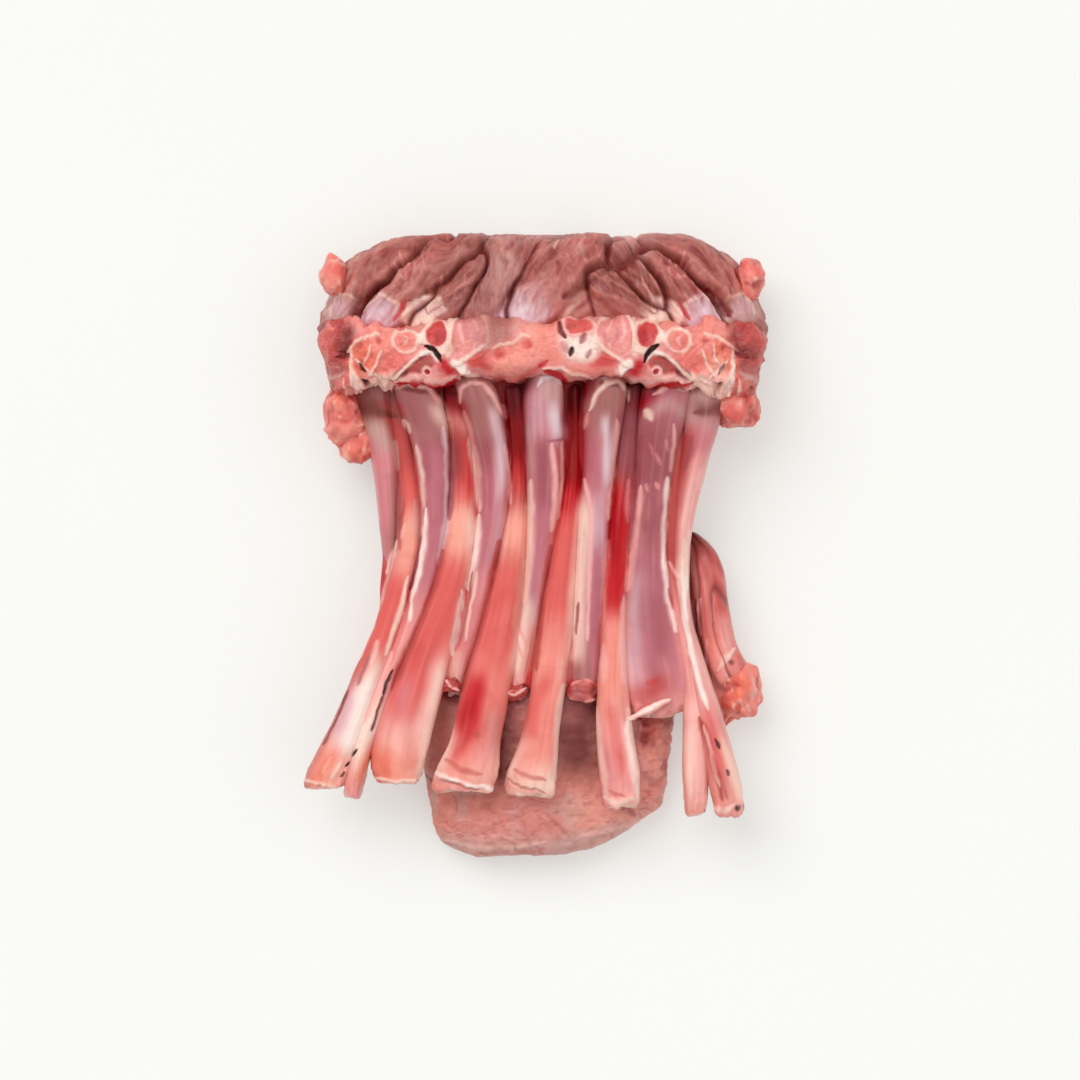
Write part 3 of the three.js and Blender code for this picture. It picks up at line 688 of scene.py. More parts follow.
    s(T.BARK, 0.9, 0.5, 508, 778, 526, 786, 546, 791),
    s(T.RUST, 2.2, 0.5, 514, 768, 530, 776, 546, 778),
    s(T.CORAL, 4, 0.5, 524, 742, 520, 762),
    # fifth finger and its cream slot
    s(T.TAUPE, 13, 0.9, 612, 392, 604, 408, 600, 424),
    s(T.CREAM, 2.2, 0.9, 588, 412, 596, 396, 606, 385, 617, 382, 627, 390, 628, 402, rise=0.6),
    s(T.BLUSH, 2.4, 0.8, 584, 430, 588, 414),
    # painted highlight on the wet membrane
    s(T.FROST, 4.2, 0.9, 605, 422, 607, 448, 605, 484, rise=0.3),
    s(T.PETAL, 2.2, 0.9, 617, 420, 614, 452, 611, 486, 608, 520, rise=0.4),
    s(T.MAUVE, 7, 0.85, 594, 440, 592, 462, 596, 484),
    s(T.LILAC, 5, 0.6, 602, 500, 602, 545),
    s(T.CREAM, 6.8, 0.95, 585, 508, 582, 550, 578, 592, 577, 640, 577, 654, rise=-0.3),
    s(T.PETAL, 1.8, 0.9, 584, 478, 590, 510, 591, 545, 588, 600, 587, 640, rise=0.4),
    s(T.MAUVE, 5.5, 0.9, 597, 555, 595, 610, 593, 672),
    s(T.BLUSH, 2.6, 0.8, 607, 540, 605, 580, 602, 625, rise=0.3),
    s(T.TAUPE, 1.1, 0.95, 578, 602, 576, 634, soft=0.2, rise=-0.5),
    s(T.TAUPE, 6, 0.7, 574, 670, 588, 674),
    # fifth bone
    s(T.RUST, 8, 0.8, 620, 486, 618, 500),
    s(T.SCARLET, 7, 0.85, 618, 492, 617, 520, 616, 555, 616, 585, 614, 606),
    s(T.BLOOD, 5, 0.6, 616, 500, 613, 560),
    s(T.ROSE, 3.6, 0.7, 629, 480, 628, 522),
    s(T.SALMON, 9, 0.9, 613, 625, 612, 652, 610, 684),
    s(T.PETAL, 3.6, 0.7, 603, 645, 603, 682),
    s(T.PETAL, 7, 0.4, 612, 706, 619, 732),
    s(T.CORAL, 6, 0.4, 606, 700, 612, 722),
    s(T.CORAL, 4, 0.55, 611, 712, 615, 742, 621, 768),
    s(T.CREAM, 3.4, 0.85, 627, 708, 633, 745, 638, 776, rise=0.4),
    s(T.BLUSH, 8, 0.6, 618, 788),
    s(T.ROSE, 4, 0.5, 608, 750, 612, 780),
    s(T.RUST, 2, 0.5, 608, 790, 624, 796),
    s(T.CREAM, 2.6, 0.8, 603, 796, 618, 803, 640, 797, rise=0.5),
    # sixth finger
    s(T.PLUM, 3.2, 0.85, 641, 436, 638, 480, 634, 520, 630, 552),
    s(T.MAUVE, 15, 0.7, 668, 396, 664, 420),
    s(T.PETAL, 2.6, 0.85, 652, 396, 668, 387, 688, 391, rise=0.5),
    s(T.STONE, 5, 0.75, 650, 414, 668, 404, 690, 420),
    s(T.CREAM, 3.6, 0.85, 646, 412, 650, 420, rise=0.5),
    s(T.PLUM, 13, 0.6, 657, 430, 655, 458, 652, 476),
    s(T.BLUSH, 1.6, 0.6, 655, 454, 660, 466),
    s(T.BLUSH, 1.4, 0.5, 664, 440, 668, 452),
    s(T.BLUSH, 1.4, 0.5, 648, 444, 652, 456),
    s(T.PETAL, 1.9, 0.85, 673, 424, 674, 446, 670, 472, rise=0.4),
    s(T.WHITE, 2.4, 0.95, 667, 478, 664, 520, 663, 560, 668, 602, 676, 632, rise=0.6),
    s(T.PETAL, 3, 0.8, 641, 486, 637, 520, 632, 556, 627, 592, rise=0.3),
    s(T.BLUSH, 1.8, 0.8, 646, 484, 648, 492),
    s(T.BLUSH, 1.8, 0.8, 656, 482, 658, 490),
    s(T.PLUM, 6, 0.7, 652, 500, 650, 545),
    s(T.LEAN, 3, 0.5, 648, 500, 645, 540),
    s(T.PLUM, 2.6, 0.7, 647, 522, 647, 532),
    s(T.FROST, 9, 0.5, 637, 580, 634, 620, 633, 655, 636, 676),
    s(T.PETAL, 2.6, 0.85, 624, 596, 622, 650, 624, 684),
    s(T.MAUVE, 11, 0.9, 653, 588, 657, 622, 660, 652),
    s(T.PLUM, 6, 0.6, 656, 600, 660, 650),
    s(T.PLUM, 8, 0.5, 652, 668, 658, 684),
    s(T.BLUSH, 4.2, 0.7, 672, 608, 679, 640, 686, 668),
    s(T.WHITE, 2.6, 0.95, 684, 560, 684, 592, 685, 622, 691, 652, 699, 684, 708, 708, rise=0.6),
    s(T.RUST, 1.4, 0.8, 668, 588, 672, 610),
    s(T.ROSE, 5, 0.7, 656, 696, 676, 686),
    s(T.RED, 3.4, 0.5, 646, 684, 660, 678),
    s(T.ROSE, 5, 0.7, 680, 690, 685, 684),
    # sixth bone, seventh finger and the right tips
    s(T.ROSE, 9, 0.8, 708, 424, 700, 452),
    s(T.PETAL, 7, 0.8, 694, 464, 688, 496, 684, 524),
    s(T.RUST, 6, 0.85, 688, 440, 680, 480, 672, 522, 671, 562),
    s(T.PLUM, 3, 0.6, 692, 436, 684, 470),
    s(T.BLUSH, 3, 0.6, 698, 490, 690, 530),
    s(T.PETAL, 1.8, 0.8, 668, 562, 674, 571, 680, 579, rise=0.4),
    s(T.CREAM, 3.4, 0.9, 684, 540, 684, 575),
    s(T.STONE, 4, 0.8, 690, 414, 712, 426),
    s(T.PETAL, 10, 0.85, 690, 712, 693, 745, 696, 785, 697, 802),
    s(T.CREAM, 4, 0.6, 688, 730, 692, 790),
    s(T.RUST, 2.4, 0.9, 698, 716, 706, 742, 715, 772, 721, 800, rise=-0.5),
    s(T.RED, 1.4, 0.7, 704, 722, 712, 748, 720, 778),
    s(T.CREAM, 1.6, 0.8, 702, 724, 710, 752, 718, 786, rise=0.5),
    s(T.CORAL, 5, 0.7, 705, 712, 713, 738, 719, 765),
    s(T.RUST, 2.4, 0.5, 711, 752, 719, 775, 726, 797),
    s(T.BLUSH, 3, 0.5, 709, 745, 716, 770),
    s(T.CREAM, 4, 0.9, 723, 742, 732, 770, 741, 797, rise=0.4),
    s(T.INK, 1.6, 0.85, 714, 738, 719, 748, soft=0.2),
    s(T.INK, 1.4, 0.7, 726, 768, 728, 774, soft=0.2),
    s(T.INK, 2.4, 0.8, 738, 806, rise=-0.8),
    s(T.CREAM, 2.6, 0.8, 711, 806, 724, 809, 734, 802, rise=0.5),
    # pale flares and edges of the middle tips, and the stain above the white sliver
    s(T.CREAM, 10, 0.7, 446, 738, 438, 754, 431, 768),
    s(T.PETAL, 11, 0.55, 484, 748, 488, 774),
    s(T.CREAM, 10, 0.7, 519, 744, 512, 758, 507, 770),
    s(T.CREAM, 12, 0.6, 538, 776, 550, 778),
    s(T.CREAM, 2.8, 0.7, 595, 704, 598, 738, 603, 768, 606, 796, rise=0.2),
    s(T.WHITE, 3.2, 0.75, 627, 716, 629, 745, 633, 768, 637, 796, rise=0.2),
    s(T.RUST, 10, 0.55, 644, 694, 662, 684),
    s(T.RED, 4, 0.5, 650, 691, 660, 686),
)
TORN_STROKES = (
    s(T.RUST, 7, 0.8, 448, 682, 460, 684),
    s(T.WINE, 3, 0.8, 452, 676, 460, 680),
    s(T.PETAL, 1.2, 0.9, 445, 680, 452, 688, 460, 690, rise=0.4),
    s(T.RUST, 7, 0.8, 508, 688, 526, 686),
    s(T.WINE, 3, 0.8, 524, 684, 528, 690),
    s(T.PETAL, 1.2, 0.9, 506, 690, 514, 694, 526, 688, rise=0.4),
    s(T.RUST, 10, 0.8, 576, 690, 592, 690),
    s(T.PLUM, 5, 0.7, 578, 692),
    s(T.WINE, 3.4, 0.9, 592, 688, 594, 695),
    s(T.BLUSH, 1.2, 0.9, 571, 684, 584, 678, 597, 683, rise=0.3),
    s(T.PETAL, 1.3, 0.9, 568, 698, 584, 703, 594, 697, rise=0.4),
    s(T.WHITE, 4, 0.9, 627, 719, 645, 710, 668, 697),
)
CAP_STROKES = (
    s(T.PEACH, 26, 0.65, 596, 812, 650, 790, 668, 760),
    s(T.STONE, 7, 0.8, 452, 838, 500, 851, 560, 847, 620, 828),
    s(T.LEAN, 20, 0.3, 470, 828, 520, 830),
    # painted shade that the rib tips and the torn edge cast on the cap, between the tips and in the dip by the
    # knob
    s(T.TAUPE, 14, 0.45, 446, 704, 440, 740, 434, 772),
    s(T.UMBER, 8, 0.15, 450, 692, 446, 716),
    s(T.BARK, 13, 0.95, 512, 702, 506, 732, 500, 766),
    s(T.WINE, 7, 0.5, 512, 704, 506, 736),
    s(T.BARK, 22, 0.95, 580, 706, 577, 732, 580, 752),
    s(T.WINE, 10, 0.6, 572, 722, 574, 748),
    s(T.TAUPE, 9, 0.6, 568, 700, 572, 716),
    s(T.RUST, 9, 0.75, 650, 708, 648, 736, rise=-1.2),
    s(T.WINE, 5, 0.6, 652, 706, 644, 722),
    s(T.RUST, 1.6, 0.8, 640, 722, 650, 717, 656, 728, 648, 736, rise=0.8),
    s(T.BLUSH, 1.3, 0.7, 636, 716, 643, 726, 640, 738, rise=0.6),
    s(T.BLOOM, 8, 0.7, 664, 716, 668, 730),
    s(T.BLUSH, 6, 0.8, 668, 742, 672, 748, rise=0.4),
    s(T.PEACH, 9, 0.8, 656, 764, 660, 782, rise=0.6),
    s(T.CORAL, 4.6, 0.85, 670, 762, 670, 772),
    s(T.PETAL, 5, 0.7, 640, 760, 646, 776, rise=0.5),
    s(T.BLUSH, 8, 0.6, 660, 785, 650, 800),
    s(T.LEAN, 1.2, 0.7, 452, 796, 458, 806, 456, 814, rise=-0.3),
    s(T.BLUSH, 1.5, 0.7, 538, 812, 550, 824, 556, 836, rise=0.4),
    s(T.BLUSH, 1.2, 0.6, 556, 818, 566, 828, 578, 834, rise=0.3),
    s(T.LEAN, 1.3, 0.7, 546, 812, 558, 826, 570, 838, rise=-0.4),
    s(T.LEAN, 1, 0.6, 520, 818, 530, 826),
    s(T.CREAM, 1.7, 0.8, 447, 841, 480, 848, 512, 847, 546, 842, rise=0.4),
    s(T.RUST, 1.5, 0.7, 478, 852, 520, 853, 548, 849),
    s(T.PETAL, 2, 0.7, 580, 838, 610, 830, 645, 820, rise=0.4),
    s(T.PLUM, 3.4, 0.8, 622, 810, 626, 806, 634, 816, rise=-0.6),
    s(T.BARK, 1.2, 0.7, 424, 776, 434, 786, 448, 791),
    # painted shadow under the torn rolls
    s(T.WINE, 6, 0.85, 440, 692, 456, 696),
    s(T.WINE, 7, 0.85, 500, 702, 520, 704),
    s(T.WINE, 8, 0.85, 562, 706, 594, 706),
)
FLAP_STROKES = (
    s(T.PETAL, 8, 0.75, 724, 622, 726, 652),
    s(T.PETAL, 4, 0.6, 716, 660, 722, 690),
    s(T.WINE, 5, 0.8, 690, 560, 694, 600, 700, 650),
    s(T.BLUSH, 1.5, 0.9, 688, 596, 691, 628, rise=0.5),
    s(T.BLUSH, 1.5, 0.9, 699, 598, 697, 620, 700, 636, rise=0.5),
    s(T.WINE, 1.6, 0.8, 694, 600, 695, 634, rise=-0.6),
    s(T.CORAL, 6, 0.4, 722, 580, 724, 612),
    s(T.RUST, 6, 0.5, 708, 575, 710, 610),
    s(T.SALMON, 8, 0.8, 712, 652, 716, 688),
    s(T.WINE, 2.4, 0.8, 700, 648, 703, 676, 708, 704),
    s(T.GARNET, 1, 0.6, 708, 664, 714, 700),
    s(T.BLUSH, 1.6, 0.7, 706, 640, 704, 672, rise=0.5),
    s(T.BLUSH, 1.4, 0.6, 714, 590, 712, 622, rise=0.4),
    s(T.CREAM, 2.6, 0.85, 734, 648, 726, 658, 717, 672, rise=0.5),
    s(T.WINE, 2.6, 0.7, 731, 663, rise=-0.8),
    s(T.ORANGE, 9, 0.7, 739, 684, 732, 706),
    s(T.CREAM, 1.4, 0.8, 727, 674, 732, 692, rise=0.4),
    s(T.PETAL, 5, 0.6, 722, 716, 712, 726),
    s(T.PETAL, 3, 0.7, 752, 678, 754, 700),
)


# ---- finishes


class Graph:
    """A material's node tree with short calls for the nodes that the finishes use."""

    def __init__(self, name: str) -> None:
        """Start an empty node material."""
        self.material = bpy.data.materials.new(name)
        self.material.use_nodes = True
        self.tree = self.material.node_tree
        self.tree.nodes.clear()

    def node(self, kind: str, **settings: object) -> bpy.types.Node:
        """Add a node.

        Args:
            kind: Node type name.
            **settings: Node properties to set.

        Returns:
            The new node.
        """
        made = self.tree.nodes.new(kind)
        for key, value in settings.items():
            setattr(made, key, value)
        return made

    def put(self, target: bpy.types.NodeSocket, source: object) -> None:
        """Link a socket to a socket, or set its value."""
        if isinstance(source, bpy.types.NodeSocket):
            self.tree.links.new(source, target)
        else:
            target.default_value = source

    def math(self, operation: str, first: object, second: object = 0.0) -> bpy.types.NodeSocket:
        """Number from one sum on two numbers.

        Args:
            operation: Math node operation.
            first: First socket or value.
            second: Second socket or value.

        Returns:
            Output socket.
        """
        made = self.node("ShaderNodeMath", operation=operation)
        self.put(made.inputs[0], first)
        self.put(made.inputs[1], second)
        return made.outputs[0]

    def spread(self, value: object, low: float, high: float, to_low: float = 0.0,
               to_high: float = 1.0) -> bpy.types.NodeSocket:
        """Map a range onto another with a smooth step.

        Args:
            value: Socket to map.
            low: Start of the range read.
            high: End of the range read.
            to_low: Result at low.
            to_high: Result at high.

        Returns:
            Output socket.
        """
        made = self.node("ShaderNodeMapRange", interpolation_type="SMOOTHSTEP")
        for socket, source in zip(made.inputs, (value, low, high, to_low, to_high)):
            self.put(socket, source)
        return made.outputs[0]

    def mix(self, share: object, first: object, second: object, way: str = "MIX") -> bpy.types.NodeSocket:
        """Mix two colours.

        Args:
            share: Share of the second colour.
            first: First colour or socket.
            second: Second colour or socket.
            way: Blend type.

        Returns:
            Output socket.
        """
        made = self.node("ShaderNodeMix", data_type="RGBA", blend_type=way)
        self.put(made.inputs["Factor"], share)
        self.put(made.inputs[6], first)
        self.put(made.inputs[7], second)
        return made.outputs[2]

    def noise(self, vector: bpy.types.NodeSocket, scale: float, detail: float,
              twist: float = 0.0) -> bpy.types.NodeSocket:
        """Noise over a vector.

        Args:
            vector: Coordinates to read.
            scale: Cells per unit.
            detail: Layers of detail.
            twist: Distortion.

        Returns:
            Output socket in 0..1.
        """
        made = self.node("ShaderNodeTexNoise")
        self.put(made.inputs["Vector"], vector)
        self.put(made.inputs["Scale"], scale)
        self.put(made.inputs["Detail"], detail)
        self.put(made.inputs["Distortion"], twist)
        return made.outputs["Fac"]


@dataclass(frozen=True)
class Flesh:
    """Moist flesh: the tones laid on the mesh, broken up by fibres along the grain, mottling and pores.

    The grain map holds the distance along and across the fibres, in metres.
    """

    name: str
    slot: str
    base: Tone
    deep: Tone
    strand: tuple[float, float, float, float] = (1.22, 1.42, 1.42, 1.0)
    furrow: tuple[float, float, float, float] = (0.78, 0.62, 0.60, 1.0)
    blotch: tuple[float, float, float, float] = (0.84, 0.72, 0.72, 1.0)
    mottle_mm: float = 9.0
    fibre_mm: tuple[float, float] = (14.0, 0.7)
    fibre_share: float = 0.35
    roughness: tuple[float, float] = (0.34, 0.52)
    coat: float = 0.08
    gloss: float = 0.36
    relief_mm: float = 0.3
    glow_mm: float = 1.2

    def build(self) -> bpy.types.Material:
        """Make the node material.

        Returns:
            The material.
        """
        g = Graph(self.name)
        place = g.node("ShaderNodeTexCoord").outputs["Object"]
        grain = g.node("ShaderNodeUVMap", uv_map="grain").outputs["UV"]
        stretch = g.node("ShaderNodeVectorMath", operation="MULTIPLY")
        g.put(stretch.inputs[0], grain)
        g.put(stretch.inputs[1], (1.0 / self.fibre_mm[0] / METRES, 1.0 / self.fibre_mm[1] / METRES, 0.0))
        fibre = g.noise(stretch.outputs[0], 1.0, 3.0, 0.5)
        mottle = g.noise(place, 1.0 / self.mottle_mm / METRES, 4.0, 0.5)
        pores = g.noise(place, PORES_PER_METRE, 2.0)
        laid = g.node("ShaderNodeAttribute", attribute_name="flesh").outputs["Color"]

        strands = g.math("MULTIPLY", g.spread(fibre, 0.52, 0.75), self.fibre_share)
        colour = g.mix(strands, laid, self.strand, "MULTIPLY")
        furrows = g.math("MULTIPLY", g.spread(fibre, 0.48, 0.25), self.fibre_share)
        colour = g.mix(furrows, colour, self.furrow, "MULTIPLY")
        blotches = g.math("MULTIPLY", g.spread(mottle, 0.50, 0.72), 0.4)
        colour = g.mix(blotches, colour, self.blotch, "MULTIPLY")

        height = g.math("ADD", g.math("MULTIPLY", fibre, 0.9), g.math("MULTIPLY", mottle, 0.8))
        height = g.math("ADD", height, g.math("MULTIPLY", pores, 0.22))
        bump = g.node("ShaderNodeBump")
        g.put(bump.inputs["Strength"], 0.8)
        g.put(bump.inputs["Distance"], self.relief_mm * METRES)
        g.put(bump.inputs["Height"], height)

        shader = g.node("ShaderNodeBsdfPrincipled")
        g.put(shader.inputs["Base Color"], colour)
        g.put(shader.inputs["Roughness"], g.spread(mottle, 0.3, 0.7, *self.roughness))
        g.put(shader.inputs["Normal"], bump.outputs[0])
        shader.inputs["Specular IOR Level"].default_value = self.gloss
        shader.inputs["Coat Weight"].default_value = self.coat
        shader.inputs["Coat Roughness"].default_value = 0.2
        shader.inputs["Subsurface Weight"].default_value = 0.12
        shader.inputs["Subsurface Radius"].default_value = (1.0, 0.35, 0.25)
        shader.inputs["Subsurface Scale"].default_value = self.glow_mm * METRES
        g.put(g.node("ShaderNodeOutputMaterial").inputs["Surface"], shader.outputs[0])
        return g.material


LEAN = Flesh("loin_lean", "lean_meat", T.LEAN, T.UMBER, fibre_mm=(11.0, 1.1), fibre_share=0.32)
CAP_LEAN = Flesh("cap_lean", "lean_meat", T.BLOOM, T.STONE, fibre_mm=(16.0, 2.4), fibre_share=0.15, mottle_mm=14.0)
HOLLOW = Flesh("blood_hollow", "lean_meat", T.RED, T.RUST, coat=0.0, gloss=0.12, roughness=(0.3, 0.45))
BONE = Flesh("rib_pink_bone", "rib_bone", T.SALMON, T.CORAL, fibre_mm=(34.0, 2.0), fibre_share=0.16,
             mottle_mm=12.0, coat=0.03, gloss=0.18)
MEMBRANE = Flesh("lilac_membrane", "membrane", T.ROSE, T.MAUVE, fibre_mm=(36.0, 2.0), fibre_share=0.16,
                 mottle_mm=13.0, coat=0.2, roughness=(0.28, 0.44))
CHINE = Flesh("sawn_chine", "chine_bone", T.BLUSH, T.SALMON, fibre_mm=(4.0, 1.2), fibre_share=0.15, mottle_mm=5.0,
              coat=0.15)
FAT = Flesh("pink_fat", "fat", T.SALMON, T.CORAL, fibre_mm=(5.0, 1.0), fibre_share=0.3, mottle_mm=5.0)
FLAP = Flesh("flap_muscle", "lean_meat", T.RUST, T.RED, fibre_mm=(20.0, 1.2), fibre_share=0.4, mottle_mm=8.0)
MATERIALS: dict[str, bpy.types.Material] = {}  # filled by main, by finish name


# ---- surfaces


class Shell:
    """A closed surface on a grid: rows run from one end to the other, columns run round.

    The first and last rows are each a single point. The flesh tones are kept for every point.
    """

    def __init__(self, points: Array, along: Array, across: Array) -> None:
        """Keep the points in millimetres, and the distances along and across the grain."""
        self.points = points
        self.along = along
        self.across = across
        self.tones = np.zeros(points.shape)
        self.rise = np.zeros(points.shape[:2])

    def normals(self) -> Array:
        """Outward unit normals: the cross product of the steps along and round, turned outward.

        Returns:
            Normals, rows x columns x 3.
        """
        down = np.gradient(self.points, axis=0)
        padded = np.concatenate([self.points[:, -1:], self.points, self.points[:, :1]], axis=1)
        turn = (padded[:, 2:] - padded[:, :-2]) / 2.0
        normal = np.cross(turn, down)
        normal /= np.linalg.norm(normal, axis=2, keepdims=True) + 1e-9
        middle = self.points.mean(axis=1, keepdims=True)
        if ((self.points - middle) * normal).sum() < 0.0:
            normal = -normal
        return normal

    def lay(self, tone: Tone, share: Array) -> None:
        """Mix a tone into the flesh tones by a share for every point."""
        share = np.clip(share, 0.0, 1.0)[..., None]
        self.tones = self.tones * (1.0 - share) + tone.screen() * share

    def paint(self, finish: Flesh, strokes: tuple[Stroke, ...], base: Array | None = None) -> None:
        """Lay the finish's base tone patched with its deep tone by a field, and then the strokes.

        Args:
            finish: Finish whose tones lie under the strokes.
            strokes: Strokes to lay.
            base: Tones to use in place of the finish's base tone, one triple for every point.
        """
        x, y, z = (self.points[:, :, axis] for axis in range(3))
        self.tones[:] = finish.base.screen() if base is None else base
        patches = ease(-0.1, 0.7, FIELD.at(x / 8.0, y / 11.0, z / 8.0, 3))
        self.lay(finish.deep, patches * (DEEP_SHARE if base is None else DEEP_SHARE_OVER))
        self.stroke(strokes)

    def stroke(self, strokes: tuple[Stroke, ...]) -> None:
        """Lay strokes in order, by the plan place of every point.

        The place wanders a little, so that no stroke has a ruled edge.

        Args:
            strokes: Strokes to lay.
        """
        x, y = self.points[:, :, 0], self.points[:, :, 1]
        plan_x, plan_y = plan_of(x, y)
        plan_x = plan_x + 1.1 * FIELD.at(x / 3.0, y / 5.0, 3.3, 2) + 0.25 * FIELD.at(x / 1.2, y / 2.4, 4.4)
        plan_y = plan_y + 1.4 * FIELD.at(x / 3.0, y / 4.0, 6.6, 2)
        patchy = 1.0 + 0.14 * FIELD.at(x / 3.0, y / 8.0, 9.9, 2)
        for stroke in strokes:
            reach = stroke.width * (1.0 + stroke.soft) + STROKE_WANDER
            low_x, high_x = min(p[0] for p in stroke.line) - reach, max(p[0] for p in stroke.line) + reach
            low_y, high_y = min(p[1] for p in stroke.line) - reach, max(p[1] for p in stroke.line) + reach
            near = (plan_x > low_x) & (plan_x < high_x) & (plan_y > low_y) & (plan_y < high_y)
            if not near.any():
                continue
            mask = stroke.mask(plan_x[near], plan_y[near])
            share = np.clip(mask * stroke.share * patchy[near], 0.0, 1.0)[:, None]
            self.tones[near] = self.tones[near] * (1.0 - share) + stroke.tone.screen() * share
            self.rise[near] += stroke.rise * mask

    def smear(self, reach: int) -> None:
        """Draw the tones out along the grain: twice, each row takes the mean of the rows within reach.

        Args:
            reach: Rows on either side that a row blends with.
        """
        for _ in range(2):
            padded = np.pad(self.tones, ((reach + 1, reach), (0, 0), (0, 0)), mode="edge").cumsum(axis=0)
            self.tones = (padded[2 * reach + 1:] - padded[:-2 * reach - 1]) / (2.0 * reach + 1.0)

    def push(self, height: Array) -> None:
        """Move each point outward by height, in millimetres."""
        self.points = self.points + self.normals() * height[:, :, None]

    def piece(self, name: str, finish: Flesh) -> bpy.types.Object:
        """Make the mesh, its tones and its grain map, and put it on the rack.

        Args:
            name: Piece name.
            finish: Finish to dress it in.

        Returns:
            The new object.
        """
        self.points[:, :, 2] = np.maximum(self.points[:, :, 2], 0.0)
        rows, cols = self.points.shape[:2]
        ring = np.arange((rows - 2) * cols).reshape(rows - 2, cols)
        after = np.roll(ring, -1, axis=1)
        quads = np.stack([ring[:-1], after[:-1], after[1:], ring[1:]], axis=-1).reshape(-1, 4)
        first, last = (rows - 2) * cols, (rows - 2) * cols + 1
        top = np.stack([np.full(cols, first), after[0], ring[0]], axis=-1)
        base = np.stack([np.full(cols, last), ring[-1], after[-1]], axis=-1)
        caps = np.concatenate([top, base])

        def gather(values: Array) -> Array:
            """Values in vertex order: the rings, then the two end points."""
            flat = values[1:-1].reshape(-1, values.shape[2])
            return np.concatenate([flat, values[0].mean(0)[None], values[-1].mean(0)[None]])

        vertices = gather(self.points)
        corners = vertices[np.concatenate([quads[:, :3], quads[:, [0, 2, 3]], caps])]
        if np.einsum("ij,ij->i", corners[:, 0], np.cross(corners[:, 1], corners[:, 2])).sum() < 0.0:
            quads, caps = quads[:, ::-1], caps[:, ::-1]

        mesh = bpy.data.meshes.new(name)
        mesh.vertices.add(len(vertices))
        mesh.vertices.foreach_set("co", ((vertices + CENTRE_SHIFT) * METRES).astype(np.float32).ravel())
        loops = np.concatenate([quads.ravel(), caps.ravel()])
        starts = np.concatenate([np.arange(len(quads)) * 4, quads.size + np.arange(len(caps)) * 3])
        mesh.loops.add(len(loops))
        mesh.loops.foreach_set("vertex_index", loops.astype(np.int32))
        mesh.polygons.add(len(starts))
        mesh.polygons.foreach_set("loop_start", starts.astype(np.int32))
        mesh.polygons.foreach_set("use_smooth", np.ones(len(starts), bool))
        mesh.update(calc_edges=True)

        paint = albedo(gather(self.tones), GLOSS_VEIL * finish.gloss + COAT_VEIL * finish.coat)
        laid = np.concatenate([paint, np.ones((len(vertices), 1))], axis=1)
        flesh = mesh.color_attributes.new("flesh", "FLOAT_COLOR", "POINT")
        flesh.data.foreach_set("color", laid.astype(np.float32).ravel())
        grain = gather(np.stack([self.along, self.across], axis=-1))
        layer = mesh.uv_layers.new(name="grain")
        layer.data.foreach_set("uv", (grain[loops] * METRES).astype(np.float32).ravel())

        made = bpy.data.objects.new(name, mesh)
        bpy.context.scene.collection.objects.link(made)
        mesh.materials.append(MATERIALS[finish.name])
        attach(made, "root")
        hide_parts(NODE)
        LOG.info("%s: %d faces", name, len(starts))
        return made


@dataclass
class Section:
    """How a section is carried along a path: sampling, and how square its ends and its outline are.

    The section is a superellipse |cos|^square + |sin|^square = 1; the ends close as
    (1 - |2t - 1|^blunt)^(1 / blunt). Most columns lie on the upper side, where detail shows.
    """

    rows: int
    cols: int
    blunt: float
    square: float
    crowd: float
    top_share: float = 0.66

    def t(self) -> Array:
        """Places along the path, from 0 to 1, gathered at the ends by the crowd share."""
        u = np.linspace(0.0, 1.0, self.rows)
        return u * (1.0 - self.crowd) + (1.0 - np.cos(np.pi * u)) / 2.0 * self.crowd

    def ring(self) -> Array:
        """Share of the full size at each place along the path."""
        return np.clip(1.0 - np.abs(2.0 * self.t() - 1.0) ** self.blunt, 0.0, None) ** (1.0 / self.blunt)

    def outline(self) -> tuple[Array, Array]:
        """The section's sideways and upward shares, round from the left of the path over the top."""
        u = np.arange(self.cols) / self.cols
        angle = np.interp(u, [0.0, self.top_share, 1.0], np.radians(SECTION_TURN))
        cos, sin = np.cos(angle), np.sin(angle)
        reach = (np.abs(cos) ** self.square + np.abs(sin) ** self.square) ** (-1.0 / self.square)
        return reach * cos, reach * sin


@dataclass
class Carried:
    """A section carried along a path, with the places that relief is worked out from."""

    shell: Shell
    t: Array
    side: Array
    top: Array

    @property
    def x(self) -> Array:
        """X of the points, in millimetres."""
        return self.shell.points[:, :, 0]

    @property
    def y(self) -> Array:
        """Y of the points, in millimetres."""
        return self.shell.points[:, :, 1]

    @property
    def z(self) -> Array:
        """Z of the points, in millimetres."""
        return self.shell.points[:, :, 2]


